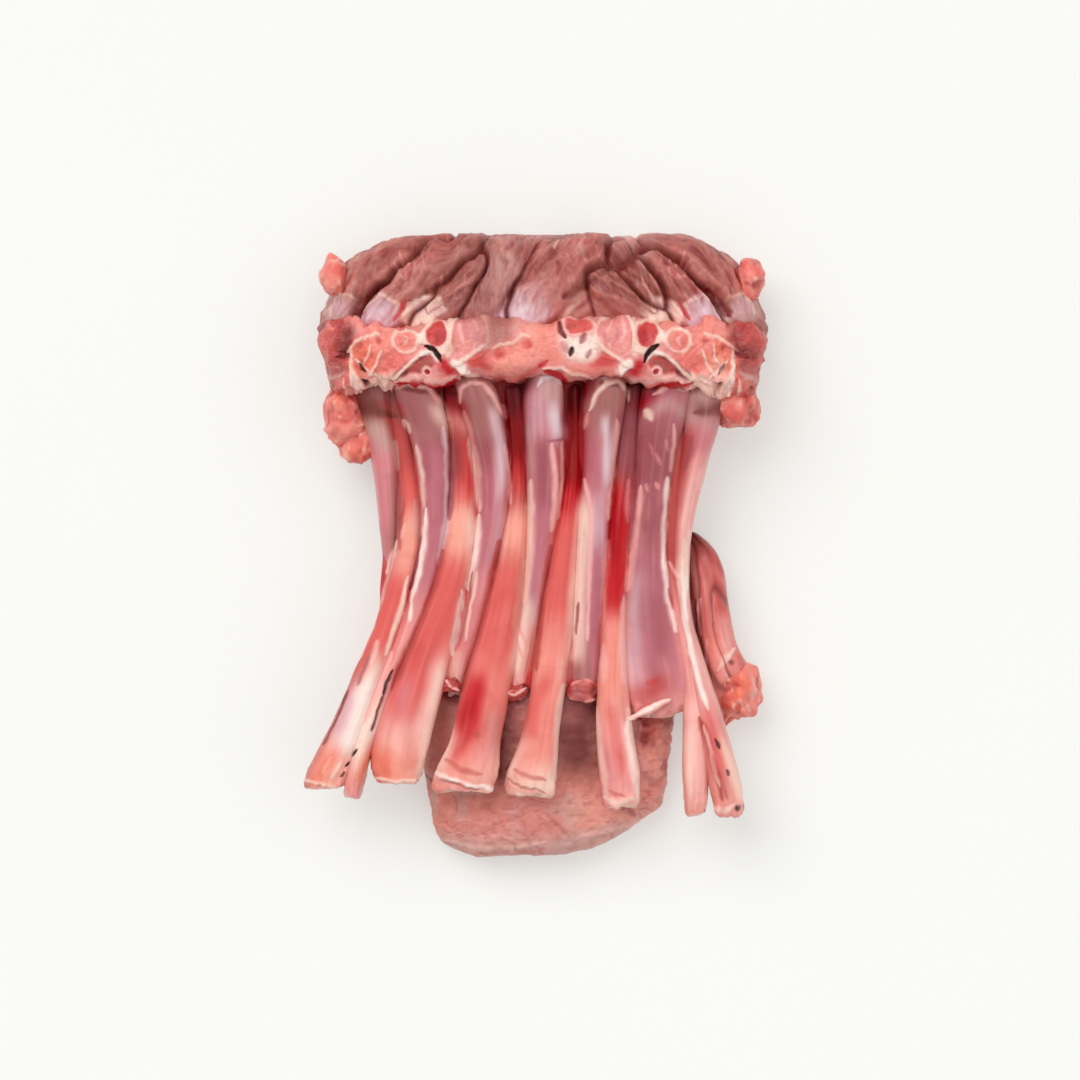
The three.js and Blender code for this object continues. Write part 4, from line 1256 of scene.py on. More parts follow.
def carry(
    path: Callable[[Array], Array],
    half_width: Callable[[Array], Array],
    half_height: Callable[[Array], Array],
    section: Section,
    right_reach: float = 1.0,
    level: bool = False,
) -> Carried:
    """Carry a section along a path.

    Point = path(t) + ring(t) * (side * half_width(t) sideways + up * half_height(t) upwards), where
    sideways is level and square to the path, or along +X if level is set.

    Args:
        path: Centre at each t, n x 3.
        half_width: Half width at each t.
        half_height: Half height at each t.
        section: Sampling and squareness.
        right_reach: Share of the half width on the right of the path.
        level: Keep every section in a plane of constant Y.

    Returns:
        The surface and its coordinates.
    """
    t, ring = section.t(), section.ring()
    side, up = section.outline()
    centre = path(t)
    step = np.gradient(centre[:, :2], axis=0)
    step /= np.linalg.norm(step, axis=1, keepdims=True) + 1e-9
    sideways = np.stack([-step[:, 1], step[:, 0]], axis=1)
    if level:
        sideways = np.tile([1.0, 0.0], (len(t), 1))
    out = side[None, :] * (ring * half_width(t))[:, None]
    out = np.where(out < 0.0, out * right_reach, out)
    points = np.empty((len(t), len(side), 3))
    points[:, :, :2] = centre[:, None, :2] + sideways[:, None, :] * out[:, :, None]
    points[:, :, 2] = centre[:, None, 2] + up[None, :] * (ring * half_height(t))[:, None]
    length = np.concatenate([[0.0], np.cumsum(np.linalg.norm(np.diff(centre, axis=0), axis=1))])
    grid = np.ones(points.shape[:2])
    turn = np.unwrap(np.arctan2(up, side))
    across = (turn - np.pi / 2.0)[None, :] * half_width(t).mean() * 0.7
    shell = Shell(points, length[:, None] * grid, across * grid)
    return Carried(shell, t[:, None] * grid, side[None, :] * grid, np.clip(up, 0.0, 1.0)[None, :] * grid)


# ---- the rib cage


class BandKind(Enum):
    """What a band of the cage is."""

    BONE = "bare rib bone"
    FINGER = "raised muscle under its membrane"
    FLAP = "folded flap that lies on the floor"


@dataclass(frozen=True)
class RibBand:
    """One band of the rib cage, from under the chine to its tip or its torn edge.

    Each edge is (down the plan, left edge, right edge, height of the top in millimetres). The course names tones
    down the plan;
    its dark first stations are partly blood and partly painted shade under the chine. Left and right name what is
    laid
    along each side, with its share: pale membrane edges, painted shade on the darker side and painted light on the
    paler side.
    """

    name: str
    kind: BandKind
    edges: tuple[tuple[float, float, float, float], ...]
    course: tuple[tuple[float, Tone], ...]
    left: tuple[Tone, float]
    right: tuple[Tone, float]
    ragged: float = 1.0
    cols: int = 64
    blunt: float = 12.0

    def read(self, column: int, t: Array) -> Array:
        """One column of the edge table along the band, rounded at the stations.

        The table is read at EDGE_PLACES places and averaged three times over EDGE_WINDOW of them.

        Args:
            column: Column of the table.
            t: Places along the band.

        Returns:
            Values of the column.
        """
        table = np.array(self.edges, float)
        places = np.linspace(0.0, 1.0, EDGE_PLACES)
        down = table[0, 0] + (table[-1, 0] - table[0, 0]) * places
        values = np.interp(down, table[:, 0], table[:, column])
        for _ in range(3):
            padded = np.pad(values, EDGE_WINDOW // 2, mode="reflect", reflect_type="odd")
            values = np.convolve(padded, np.ones(EDGE_WINDOW) / EDGE_WINDOW, mode="valid")
        return np.interp(t, places, values)

    def course_at(self, down: Array) -> Array:
        """Tones along the band: straight from station to station, then averaged over COURSE_WINDOW.

        Args:
            down: Places down the plan.

        Returns:
            Screen values, one triple for every place.
        """
        places = np.array([place for place, _ in self.course], float)
        tones = np.stack([tone.screen() for _, tone in self.course])
        fine = np.arange(places[0], places[-1] + 1.0)
        table = np.stack([np.interp(fine, places, tones[:, channel]) for channel in range(3)], axis=1)
        padded = np.pad(table, ((COURSE_WINDOW // 2,) * 2, (0, 0)), mode="edge")
        even = np.ones(COURSE_WINDOW) / COURSE_WINDOW
        return np.stack([np.interp(down, fine, np.convolve(padded[:, channel], even, "valid"))
                         for channel in range(3)], axis=-1)

    def build(self) -> bpy.types.Object:
        """Make the band.

        Returns:
            The piece.
        """
        finish, strokes, thickness, square, tinge = LOOKS[self.kind]
        start, end = self.edges[0][0], self.edges[-1][0]

        def thick(t: Array) -> Array:
            """Half thickness of the band at each t; a flap reaches down to the floor."""
            return self.read(3, t) / 2.0 if self.kind is BandKind.FLAP else np.full_like(t, thickness)

        def path(t: Array) -> Array:
            """Centre of the band at each t."""
            x = ((self.read(1, t) + self.read(2, t)) / 2.0 - PLAN_ORIGIN[0]) * PLAN_STEP
            y = (PLAN_ORIGIN[1] - start - (end - start) * t) * PLAN_STEP
            return points_at(x, y, self.read(3, t) - thick(t))

        section = Section(rows=380, cols=self.cols, blunt=self.blunt, square=square, crowd=0.4)

        def half_width(t: Array) -> Array:
            """Half width of the band at each t."""
            return (self.read(2, t) - self.read(1, t)) / 2.0 * PLAN_STEP

        made = carry(path, half_width, thick, section, level=True)
        shell, t, side, x, y, z = made.shell, made.t, made.side, made.x, made.y, made.z
        seed = start * 0.37 + self.edges[0][1] * 0.11
        length = (end - start) * PLAN_STEP
        furrow = FIELD.at(side * 2.2 + seed, t * length / 45.0, seed)
        fine = FIELD.at(side * 6.0 + seed, t * length / 26.0, seed + 5.0)
        lump = FIELD.at(x / 8.0, y / 13.0, z / 8.0, 2)
        down = PLAN_ORIGIN[1] - y / PLAN_STEP + 6.0 * FIELD.at(side * 0.8, t * 9.0, seed)
        shell.paint(finish, (), self.course_at(down))
        uneven = 0.8 + 0.35 * FIELD.at(t * 11.0, seed, 2.0)
        # painted shade along the darker side and painted light along the paler side, laid with the pale edges of
        # the membranes
        shell.lay(self.left[0], self.left[1] * ease(-0.45, -0.95, side) * uneven * (made.top > 0.0))
        shell.lay(self.right[0], self.right[1] * ease(0.45, 0.95, side) * uneven * (made.top > 0.0))
        wash = FIELD.at(side * 1.3 + seed, t * length / 24.0, seed + 9.0, 2)
        shell.lay(T.PETAL, 0.24 * ease(0.15, 0.9, wash) * (tinge is T.PLUM))
        shell.lay(T.PEACH, 0.34 * ease(0.15, 0.9, wash) * (tinge is not T.PLUM))
        shell.lay(tinge, 0.28 * ease(0.15, 0.9, -wash))
        shell.stroke(tuple(stroke for stroke in strokes if stroke.width >= THIN))
        shell.smear(SMEAR_ROWS)
        shell.stroke(tuple(stroke for stroke in strokes if stroke.width < THIN))
        shell.lay(T.PETAL, 0.18 * ease(0.2, 0.9, fine) * made.top)
        shell.lay(tinge, 0.16 * ease(0.2, 0.9, -fine))
        # painted shade on the band's sides, where the surface turns away from the top
        shell.lay(T.WINE, 0.35 * ease(0.3, -0.2, made.top))
        # painted shade at the band's root, under the chine's edge
        shell.lay(T.WINE, 0.55 * ease(14.0, 0.0, down - start))
        core = ease(0.995, 1.0, t) * self.ragged
        shell.lay(T.CREAM, 0.8 * core)
        relief = made.top * (0.4 * furrow + 0.15 * fine) + 0.3 * lump + shell.rise * made.top
        if self.kind is BandKind.FLAP:
            fold = FIELD.at(side * 2.0 + 0.2 * lump, t * 1.9, 12.0)
            # painted shade at the bottom of each fold
            shell.lay(T.WINE, 0.6 * bell(fold, 0.0, 0.09))
            shell.lay(T.BLUSH, 0.4 * bell(fold, 0.30, 0.14))
            relief = relief + made.top * (3.0 * np.abs(fold) - 1.2) + 0.4 * lump
        near_tip = ease(0.90, 1.0, t) * self.ragged
        shred = FIELD.at(x / 2.0, y / 5.0, z / 3.0, 2)
        pull = 1.3 * FIELD.at(x / 7.0, seed, z / 9.0, 2)
        shell.points[:, :, 1] += near_tip * pull
        shell.push(relief + near_tip * shred * 0.9)
        return shell.piece(self.name, finish)


# finish, strokes, half thickness, squareness and tone of the washes
LOOKS: dict[BandKind, tuple[Flesh, tuple[Stroke, ...], float, float, Tone]] = {
    BandKind.BONE: (BONE, CAGE_STROKES, 7.0, 2.2, T.RUST),
    BandKind.FINGER: (MEMBRANE, CAGE_STROKES, 8.0, 2.0, T.PLUM),
    BandKind.FLAP: (FLAP, FLAP_STROKES, 14.0, 2.6, T.WINE),
}
FLAP_SLAB = RibBand("flap", BandKind.FLAP, (
    (533, 678, 700, 20), (545, 678, 716, 25), (575, 680, 726, 28), (600, 682, 729, 29), (625, 684, 732, 29),
    (648, 687, 738, 28), (670, 692, 752, 27), (690, 696, 756, 25), (705, 701, 750, 23), (718, 707, 738, 20),
    (731, 713, 724, 15)), (
        (533, T.WINE), (560, T.RUST), (610, T.RUST), (645, T.CORAL), (670, T.BLUSH), (731, T.SALMON)),
        (T.WINE, 0.7), (T.CORAL, 0.4), 0.5, 150, 5.0)
# the dark first stations of the courses (bark, garnet, blood) are partly blood, partly painted shade under the
# chine
BANDS = (
    RibBand("finger_1", BandKind.FINGER, (
        (382, 352, 392, 41), (415, 360, 396, 37), (440, 368, 398, 35), (480, 374, 402, 33), (530, 380, 401, 31),
        (560, 383, 397, 29), (580, 385, 391, 27)), (
        (400, T.BARK), (425, T.STONE), (455, T.ROSE), (520, T.ROSE), (575, T.TAUPE)),
        (T.BLUSH, 0.3), (T.TAUPE, 0.8), 0.4),
    RibBand("finger_2", BandKind.FINGER, (
        (378, 390, 436, 47), (410, 398, 446, 43), (440, 412, 450, 40), (480, 418, 451, 38), (520, 421, 449, 37),
        (560, 415, 442, 36), (600, 404, 434, 36), (640, 392, 416, 37), (680, 376, 398, 38), (720, 360, 382, 39),
        (760, 346, 370, 40), (797, 344, 362, 40)), (
        (380, T.TAUPE), (405, T.PLUM), (430, T.TAUPE), (455, T.MAUVE), (500, T.ROSE), (540, T.ROSE),
        (585, T.ROSE), (625, T.BLUSH), (665, T.BLUSH), (700, T.PETAL), (740, T.CREAM), (768, T.PEACH),
        (797, T.BLUSH)), (T.CREAM, 0.5), (T.FROST, 0.5)),
    RibBand("finger_3", BandKind.FINGER, (
        (376, 452, 490, 48), (400, 457, 502, 45), (440, 470, 509, 41), (480, 480, 512, 39), (520, 478, 508, 37),
        (560, 470, 500, 36), (600, 463, 493, 35), (640, 455, 484, 34), (680, 449, 468, 33),
        (694, 448, 463, 32)), (
        (380, T.TAUPE), (422, T.TAUPE), (450, T.PLUM), (480, T.MAUVE), (520, T.ROSE), (560, T.ROSE),
        (600, T.BLUSH), (660, T.BLUSH), (692, T.TAUPE)), (T.BLUSH, 0.5), (T.LILAC, 0.6)),
    RibBand("finger_4", BandKind.FINGER, (
        (374, 524, 563, 49), (400, 523, 564, 46), (440, 525, 565, 42), (480, 527, 564, 40), (520, 527, 560, 38),
        (560, 524, 554, 36), (600, 520, 546, 35), (640, 512, 538, 34), (680, 506, 530, 33),
        (697, 505, 528, 32)), (
        (376, T.STONE), (400, T.LILAC), (428, T.ROSE), (450, T.MAUVE), (505, T.MAUVE), (550, T.ROSE),
        (600, T.STONE), (640, T.PETAL), (690, T.BLUSH)), (T.CREAM, 0.6), (T.PETAL, 0.7)),
    RibBand("finger_5", BandKind.FINGER, (
        (376, 584, 628, 49), (400, 582, 626, 46), (440, 583, 619, 42), (480, 582, 613, 40), (520, 577, 610, 38),
        (560, 574, 609, 37), (600, 570, 606, 36), (640, 569, 603, 35), (680, 568, 602, 34),
        (700, 570, 599, 33)), (
        (378, T.TAUPE), (412, T.TAUPE), (440, T.MAUVE), (480, T.ROSE), (520, T.LILAC), (550, T.LILAC),
        (580, T.MAUVE), (620, T.MAUVE), (660, T.TAUPE), (700, T.TAUPE)),
        (T.PETAL, 0.6), (T.BLUSH, 0.6)),
    RibBand("finger_6", BandKind.FINGER, (
        (385, 640, 694, 46), (420, 638, 684, 43), (460, 636, 675, 40), (500, 634, 669, 38), (540, 630, 668, 37),
        (580, 624, 674, 36), (620, 620, 684, 36), (660, 620, 695, 36), (695, 624, 706, 36),
        (716, 627, 676, 35)), (
        (388, T.MAUVE), (425, T.PLUM), (474, T.PLUM), (492, T.MAUVE), (520, T.PLUM), (545, T.MAUVE),
        (600, T.PLUM), (650, T.MAUVE), (680, T.ROSE), (712, T.BLUSH)), (T.PETAL, 0.5), (T.CREAM, 0.5)),
    RibBand("finger_7", BandKind.FINGER, (
        (382, 680, 724, 43), (420, 684, 722, 41), (450, 682, 712, 39), (490, 674, 700, 37), (530, 671, 691, 36),
        (570, 672, 689, 36), (610, 676, 690, 36), (650, 684, 701, 37), (700, 692, 718, 38), (740, 699, 730, 39),
        (780, 708, 741, 40), (815, 713, 746, 39)), (
        (395, T.STONE), (430, T.ROSE), (458, T.BLUSH), (480, T.PETAL), (530, T.PETAL), (565, T.CREAM),
        (600, T.PETAL), (680, T.PETAL), (712, T.BLUSH), (750, T.SALMON), (790, T.PEACH), (815, T.BLUSH)),
        (T.RUST, 0.7), (T.CREAM, 0.7)),
    RibBand("rib_1", BandKind.BONE, (
        (382, 374, 404, 36), (440, 392, 414, 33), (480, 399, 419, 34), (520, 400, 423, 35), (560, 393, 418, 36),
        (600, 383, 409, 37), (640, 369, 397, 38), (680, 351, 382, 39), (720, 333, 368, 40), (750, 319, 358, 41),
        (776, 303, 350, 41), (788, 301, 347, 40)), (
        (396, T.BARK), (420, T.RUST), (450, T.CORAL), (490, T.CORAL), (515, T.SALMON), (548, T.PEACH),
        (580, T.CORAL), (662, T.CORAL), (690, T.BLUSH), (715, T.PETAL), (742, T.PEACH), (765, T.PEACH),
        (788, T.PEACH)), (T.PLUM, 0.5), (T.PETAL, 0.6)),
    RibBand("rib_2", BandKind.BONE, (
        (385, 440, 470, 35), (430, 446, 474, 33), (470, 447, 476, 33), (510, 446, 476, 35), (550, 440, 474, 36),
        (590, 430, 466, 37), (630, 411, 456, 37), (670, 393, 447, 38), (710, 378, 439, 39), (745, 370, 429, 40),
        (768, 369, 424, 41), (782, 373, 423, 40)), (
        (386, T.BLOOD), (410, T.RED), (426, T.BLUSH), (442, T.RUST), (470, T.RED), (493, T.RED), (512, T.PEACH),
        (545, T.PEACH), (572, T.CORAL), (640, T.CORAL), (690, T.CORAL), (712, T.BLUSH), (730, T.PETAL),
        (755, T.PEACH), (780, T.PEACH)),
        (T.RUST, 0.6), (T.CREAM, 0.5)),
    RibBand("rib_3", BandKind.BONE, (
        (385, 496, 530, 33), (430, 503, 530, 32), (480, 507, 530, 33), (520, 503, 529, 35), (560, 495, 526, 36),
        (600, 487, 524, 37), (640, 475, 520, 37), (680, 463, 513, 38), (720, 455, 504, 39), (750, 448, 500, 40),
        (772, 431, 500, 41), (790, 427, 498, 40)), (
        (386, T.GARNET), (430, T.BLOOD), (462, T.BLOOD), (482, T.RED), (500, T.RUST), (520, T.PEACH),
        (550, T.PEACH), (578, T.CORAL), (640, T.CORAL), (680, T.SALMON), (705, T.CORAL), (742, T.CORAL),
        (765, T.PEACH), (790, T.PETAL)), (T.RUST, 0.6), (T.BLOOM, 0.6)),
    RibBand("rib_4", BandKind.BONE, (
        (385, 558, 590, 33), (430, 561, 588, 31), (480, 560, 588, 33), (520, 556, 581, 35), (560, 549, 578, 36),
        (600, 542, 575, 37), (640, 536, 572, 37), (680, 532, 567, 38), (720, 525, 560, 39), (750, 517, 558, 40),
        (775, 503, 558, 41), (795, 502, 557, 40)), (
        (386, T.GARNET), (430, T.BLOOD), (478, T.BLOOD), (502, T.RED), (532, T.CORAL), (605, T.CORAL),
        (632, T.SALMON), (660, T.PEACH), (690, T.SALMON), (740, T.SALMON), (770, T.PEACH), (795, T.CREAM)),
        (T.RUST, 0.5), (T.PETAL, 0.6)),
    RibBand("rib_5", BandKind.BONE, (
        (385, 616, 648, 36), (430, 614, 642, 34), (480, 609, 638, 33), (520, 606, 632, 34), (560, 605, 630, 35),
        (600, 602, 627, 36), (640, 601, 626, 37), (680, 597, 627, 38), (720, 595, 631, 39), (750, 597, 636, 40),
        (780, 599, 642, 41), (806, 601, 641, 40)), (
        (386, T.GARNET), (415, T.PLUM), (468, T.PLUM), (490, T.RED), (520, T.SCARLET), (560, T.RED),
        (590, T.SCARLET), (610, T.CORAL), (626, T.PEACH), (690, T.PEACH), (730, T.BLUSH), (780, T.BLUSH),
        (806, T.PETAL)), (T.RUST, 0.3), (T.PETAL, 0.6)),
    RibBand("rib_6", BandKind.BONE, (
        (384, 664, 694, 38), (450, 662, 690, 33), (500, 662, 686, 33), (550, 662, 686, 34), (600, 668, 689, 34),
        (650, 678, 698, 35), (700, 683, 707, 36), (740, 682, 708, 37), (780, 682, 709, 37),
        (815, 685, 707, 36)), (
        (400, T.RUST), (470, T.RUST), (560, T.RUST), (600, T.BLUSH), (650, T.PETAL), (760, T.PETAL),
        (815, T.PEACH)), (T.RUST, 0.3), (T.CREAM, 0.4)),
)


@dataclass
class RibCage:
    """The bands, and the wall of muscle that closes the hollows between them."""

    wall_z: float = 23.0
    wall_half_height: float = 8.5

    def wall(self) -> bpy.types.Object:
        """Make the wall: a flat slab from under the chine to the torn edge.

        Returns:
            The piece.
        """
        stations = (0.0, 0.4, 0.8, 1.0)

        def path(t: Array) -> Array:
            """Centre of the slab at each t."""
            x = blend(stations, (3.0, -1.0, -3.0, -5.0), t)
            y = MEAT_BACK_Y + (TORN_EDGE_Y - MEAT_BACK_Y) * t
            return points_at(x, y, self.wall_z)

        made = carry(
            path,
            lambda t: blend(stations, (73.0, 66.0, 67.0, 70.0), t),
            steady(self.wall_half_height),
            Section(rows=220, cols=260, blunt=12.0, square=4.0, crowd=0.6),
        )
        shell = made.shell
        shell.paint(HOLLOW, CAGE_STROKES)
        shell.push(0.7 * FIELD.at(made.x / 6.0, made.y / 20.0, 0.0, 3))
        return shell.piece("cage_wall", HOLLOW)

    def build(self) -> None:
        """Make the wall and every band."""
        self.wall()
        for band in BANDS:
            band.build()


# ---- the loin


@dataclass(frozen=True)
class Lobe:
    """A muscle lobe of the loin: a bowed line, its half width and its height."""

    start: tuple[float, float]
    end: tuple[float, float]
    bow: float
    half: float
    height: float

    def measure(self, x: Array, y: Array) -> tuple[Array, Array, Array]:
        """Distances from the lobe's bowed centre line.

        Args:
            x: X of the points.
            y: Y of the points.

        Returns:
            Along from the start, across, and the share of the half width, with ends rounded.
        """
        dx, dy = self.end[0] - self.start[0], self.end[1] - self.start[1]
        length = float(np.hypot(dx, dy))
        along = ((x - self.start[0]) * dx + (y - self.start[1]) * dy) / length
        across = ((y - self.start[1]) * dx - (x - self.start[0]) * dy) / length
        across = across - self.bow * np.sin(np.pi * np.clip(along / length, -0.2, 1.2))
        beyond = np.maximum(0.0, -along) + np.maximum(0.0, along - length)
        return along, across, np.hypot(across, 0.8 * beyond) / self.half


LOBES = (
    Lobe((-88, 98), (-45, 136), 8, 11, 6.0),
    Lobe((-68, 98), (-30, 134), 3, 10.5, 6.0),
    Lobe((-47, 98), (-24, 124), 0, 7.5, 5.0),
    Lobe((-22, 97), (-13, 136), 2, 12, 3.5),
    Lobe((-3, 99), (28, 136), 2, 13, 6.5),
    Lobe((53, 98), (30, 116), 0, 8, 4.5),
    Lobe((52, 114), (40, 137), 0, 11, 3.5),
    Lobe((74, 98), (41, 130), -3, 10.5, 6.0),
    Lobe((94, 98), (51, 136), -8, 11, 6.0),
)


@dataclass
class Loin:
    """The loin: one mass of lean whose upper side is tiled by lobes with creases between them."""

    left_x: float = -93.0
    right_x: float = 100.5
    centre_y: float = 97.0
    reach_back: float = 41.5
    floor_z: float = 6.0
    body_height: float = 36.0
    crease_gap: float = 0.14

    def build(self) -> bpy.types.Object:
        """Make the loin.

        Each point takes the lobe whose line it is nearest to, as a share of the lobe's half width. The
        lobe bulges as (1 - share^2)^0.7, and the crease is where the two nearest shares are alike.

        Returns:
            The piece.
        """
        def path(t: Array) -> Array:
            """Centre of the mass at each t."""
            x = self.left_x + (self.right_x - self.left_x) * t
            y = self.centre_y - 4.0 * (2.0 * t - 1.0) ** 2
            return points_at(x, y, self.floor_z)

        made = carry(
            path,
            steady(self.reach_back),
            steady(self.body_height),
            Section(rows=440, cols=220, blunt=3.0, square=2.9, crowd=0.3, top_share=0.78),
            right_reach=0.34,
        )
        shell, x, y, z = made.shell, made.x, made.y, made.z
        warp = 1.5 * FIELD.at(x / 12.0, y / 12.0, 2.0, 2)
        along, across, shares = (np.stack(values) for values in
                                 zip(*(lobe.measure(x + warp, y - warp) for lobe in LOBES)))
        order = np.argsort(shares, axis=0)[:2]
        first, second = np.take_along_axis(shares, order, 0)
        along = np.take_along_axis(along, order[:1], 0)[0]
        across = np.take_along_axis(across, order[:1], 0)[0]
        nearest = order[0]
        gap = second - first
        crease = bell(gap, 0.0, self.crease_gap)
        height = np.array([lobe.height for lobe in LOBES])[nearest]
        bulge = height * np.clip(1.0 - first**2, 0.0, 1.0) ** 0.7 * ease(0.0, 0.3, gap)
        upper = ease(-0.05, 0.5, made.top) * ease(141.0, 130.0, y)
        cord = FIELD.at(across / 1.7, along / 14.0, nearest * 3.1 + z / 12.0, 2)
        knots = FIELD.at(across / 3.2, along / 5.0, nearest * 2.3 + z / 6.0, 3)
        patchy = FIELD.at(x / 16.0, y / 16.0, 7.0, 2)
        crumb = FIELD.at(across, along / 2.6, nearest * 1.7 + z / 3.0, 3)
        shell.paint(LEAN, LOIN_STROKES)
        lean = ease(102.0, 110.0, y)
        ridge = FIELD.at(across / 2.4, along / 9.0, z / 9.0 + nearest, 2)
        # darker in the troughs and paler on the ridges of the relief: partly the fibre texture of the lean, partly
        # painted shade and painted highlight
        shell.lay(T.BARK, lean * (0.28 * ease(0.15, 0.8, -cord) + 0.34 * ease(0.1, 0.8, -crumb)))
        shell.lay(T.GARNET, 0.30 * lean * ease(0.25, 0.8, -ridge))
        shell.lay(T.BLOOM, lean * (0.38 * ease(0.2, 0.9, cord) + 0.30 * ease(0.2, 0.8, crumb)))
        shell.lay(T.STONE, 0.35 * lean * ease(0.35, 0.9, ridge))
        # painted shade in the creases between the lobes
        shell.lay(T.BARK, 0.75 * crease * upper)
        shell.lay(T.GARNET, 0.4 * crease**3 * upper)
        shell.along, shell.across = along, across
        fine = 0.45 * cord + 0.8 * knots + 0.5 * crumb + 0.8 * ridge + shell.rise
        shell.push(upper * (bulge - 0.8 * crease) + made.top * fine + 0.5 * patchy)
        return shell.piece("loin", LEAN)


# ---- the sawn chine


@dataclass
class Chine:
    """The sawn backbone: a long block with the cut vertebrae on its upper face."""

    centre_y: float = 86.0
    middle_y: float = 84.0
    half_width: float = 14.0

    def build(self) -> bpy.types.Object:
        """Make the chine.

        The block's section is carried along X; the strokes paint and carve the cut vertebrae, and pale
        webs follow the zero lines of a field, most of all at both ends.

        Returns:
            The piece.
        """
        def endness(t: Array) -> Array:
            """0 in the middle and 1 at the ends, as the square of the distance."""
            return np.abs(2.0 * t - 1.0) ** 2

        def path(t: Array) -> Array:
            """Centre of the block at each t, drooping towards the ribs at the ends."""
            x = CHINE_LEFT_X + (CHINE_RIGHT_X - CHINE_LEFT_X) * t
            y = self.centre_y - 7.0 * endness(t) + np.sin(21.0 * t)
            return points_at(x, y, CHINE_TOP_Z / 2.0 - 2.0)

        made = carry(
            path,
            lambda t: self.half_width + 5.0 * endness(t) + 0.8 * np.sin(34.0 * t),
            lambda t: CHINE_TOP_Z / 2.0 + 2.0 - 4.0 * endness(t) + 0.6 * np.sin(27.0 * t),
            Section(rows=510, cols=190, blunt=6.0, square=3.6, crowd=0.4, top_share=0.82),
        )
        shell, x, y, z = made.shell, made.x, made.y, made.z
        shell.paint(CHINE, CHINE_STROKES)
        ends = ease(52.0, 70.0, np.abs(x - MIDDLE_X))
        zero = FIELD.at(x / 3.2, y / 4.0, z / 5.0, 2)
        web = bell(zero, 0.0, 0.09) * (0.04 + 0.12 * ends)
        grains = FIELD.at(x, y, z, 2)
        shell.lay(T.CREAM, 0.8 * web)
        shell.lay(T.PETAL, 0.14 * ease(0.3, 1.0, grains))
        shell.lay(T.RUST, 0.16 * ease(0.2, 1.0, -grains))
        # painted shade on the block's sides, where the surface turns away from the top
        shell.lay(T.UMBER, 0.35 * ease(0.6, 0.1, made.top))
        bumpy = FIELD.at(x / 6.0, y / 6.0, z / 6.0, 3)
        edge = FIELD.at(x / 7.0, 3.0 * np.sign(y - self.middle_y), z / 30.0, 3)
        shell.points[:, :, 1] += edge * (1.8 + 1.4 * ends) * ease(6.0, 13.0, np.abs(y - self.middle_y))
        shell.push(made.top * shell.rise + 0.5 * web + 0.14 * grains + (0.5 + 1.3 * ends) * bumpy)
        shell.along, shell.across = x, y
        return shell.piece("chine", CHINE)


# ---- the cap of meat, the flap and the trimmings


@dataclass
class CapOfMeat:
    """The cap of meat that lies under the ribs and shows in front of their tips."""

    half_height: float = 20.0

    def build(self) -> bpy.types.Object:
        """Make the cap: a flat slab whose front is rounded, knobbly at the right.

        Returns:
            The piece.
        """
        stations = (0.0, 0.35, 0.7, 0.9, 1.0)

        def path(t: Array) -> Array:
            """Centre of the slab at each t."""
            x = blend(stations, (4.0, 4.0, 6.0, 5.0, -2.0), t)
            y = MEAT_BACK_Y + (CAP_FRONT_Y - MEAT_BACK_Y) * t
            return points_at(x, y, CAP_TOP_Z - self.half_height)

        made = carry(
            path,
            lambda t: blend(stations, (72.0, 66.0, 58.0, 56.0, 50.0), t),
            lambda t: self.half_height + 1.2 * np.sin(19.0 * t),
            Section(rows=346, cols=280, blunt=6.0, square=2.5, crowd=0.5, top_share=0.72),
            level=True,
        )
        shell, x, y = made.shell, made.x, made.y
        shell.points[:, :, 1] += 0.16 * np.clip(x - 12.0, 0.0, None) * ease(-112.0, -140.0, y)
        knobbly = bell(x, 54.0, 9.0) * bell(y, -92.0, 18.0)
        swell = FIELD.at(x / 22.0, y / 22.0, 3.0, 2)
        lumps = FIELD.at(x / 5.0, y / 5.0, 11.0, 3)
        grain = FIELD.at(x / 14.0, y / 3.0, 15.0, 2)
        shell.paint(CAP_LEAN, CAP_STROKES)
        shell.lay(T.BLUSH, 0.35 * ease(0.1, 0.9, swell) + 0.4 * knobbly * ease(0.0, 0.6, lumps))
        shell.lay(T.LEAN, 0.12 * ease(0.2, 0.9, grain))
        # painted shade in the dips between the knobs
        shell.lay(T.WINE, 0.55 * knobbly * ease(0.0, 0.5, -lumps))
        shell.lay(T.STONE, 0.5 * ease(-126.0, -139.0, y))
        wrinkle = FIELD.at(x / 11.0 + 0.5 * swell, y / 4.6, 21.0, 3)
        crack = bell(wrinkle, 0.0, 0.05) * ease(-0.3, 0.5, swell + 0.5 * lumps)
        crumb = FIELD.at(x / 2.6, y / 1.8, 27.0, 2)
        front = ease(-98.0, -112.0, y)
        shell.lay(T.RUST, 0.40 * crack * front)
        shell.lay(T.UMBER, 0.20 * ease(0.1, 0.9, -crumb))
        shell.lay(T.PETAL, 0.22 * ease(0.2, 0.9, crumb) * front)
        relief = (0.2 + 1.9 * knobbly) * lumps + 0.2 * grain + 0.35 * wrinkle - 0.5 * crack + 0.15 * crumb
        shell.push(swell + relief + shell.rise * made.top)
        return shell.piece("cap_of_meat", CAP_LEAN)


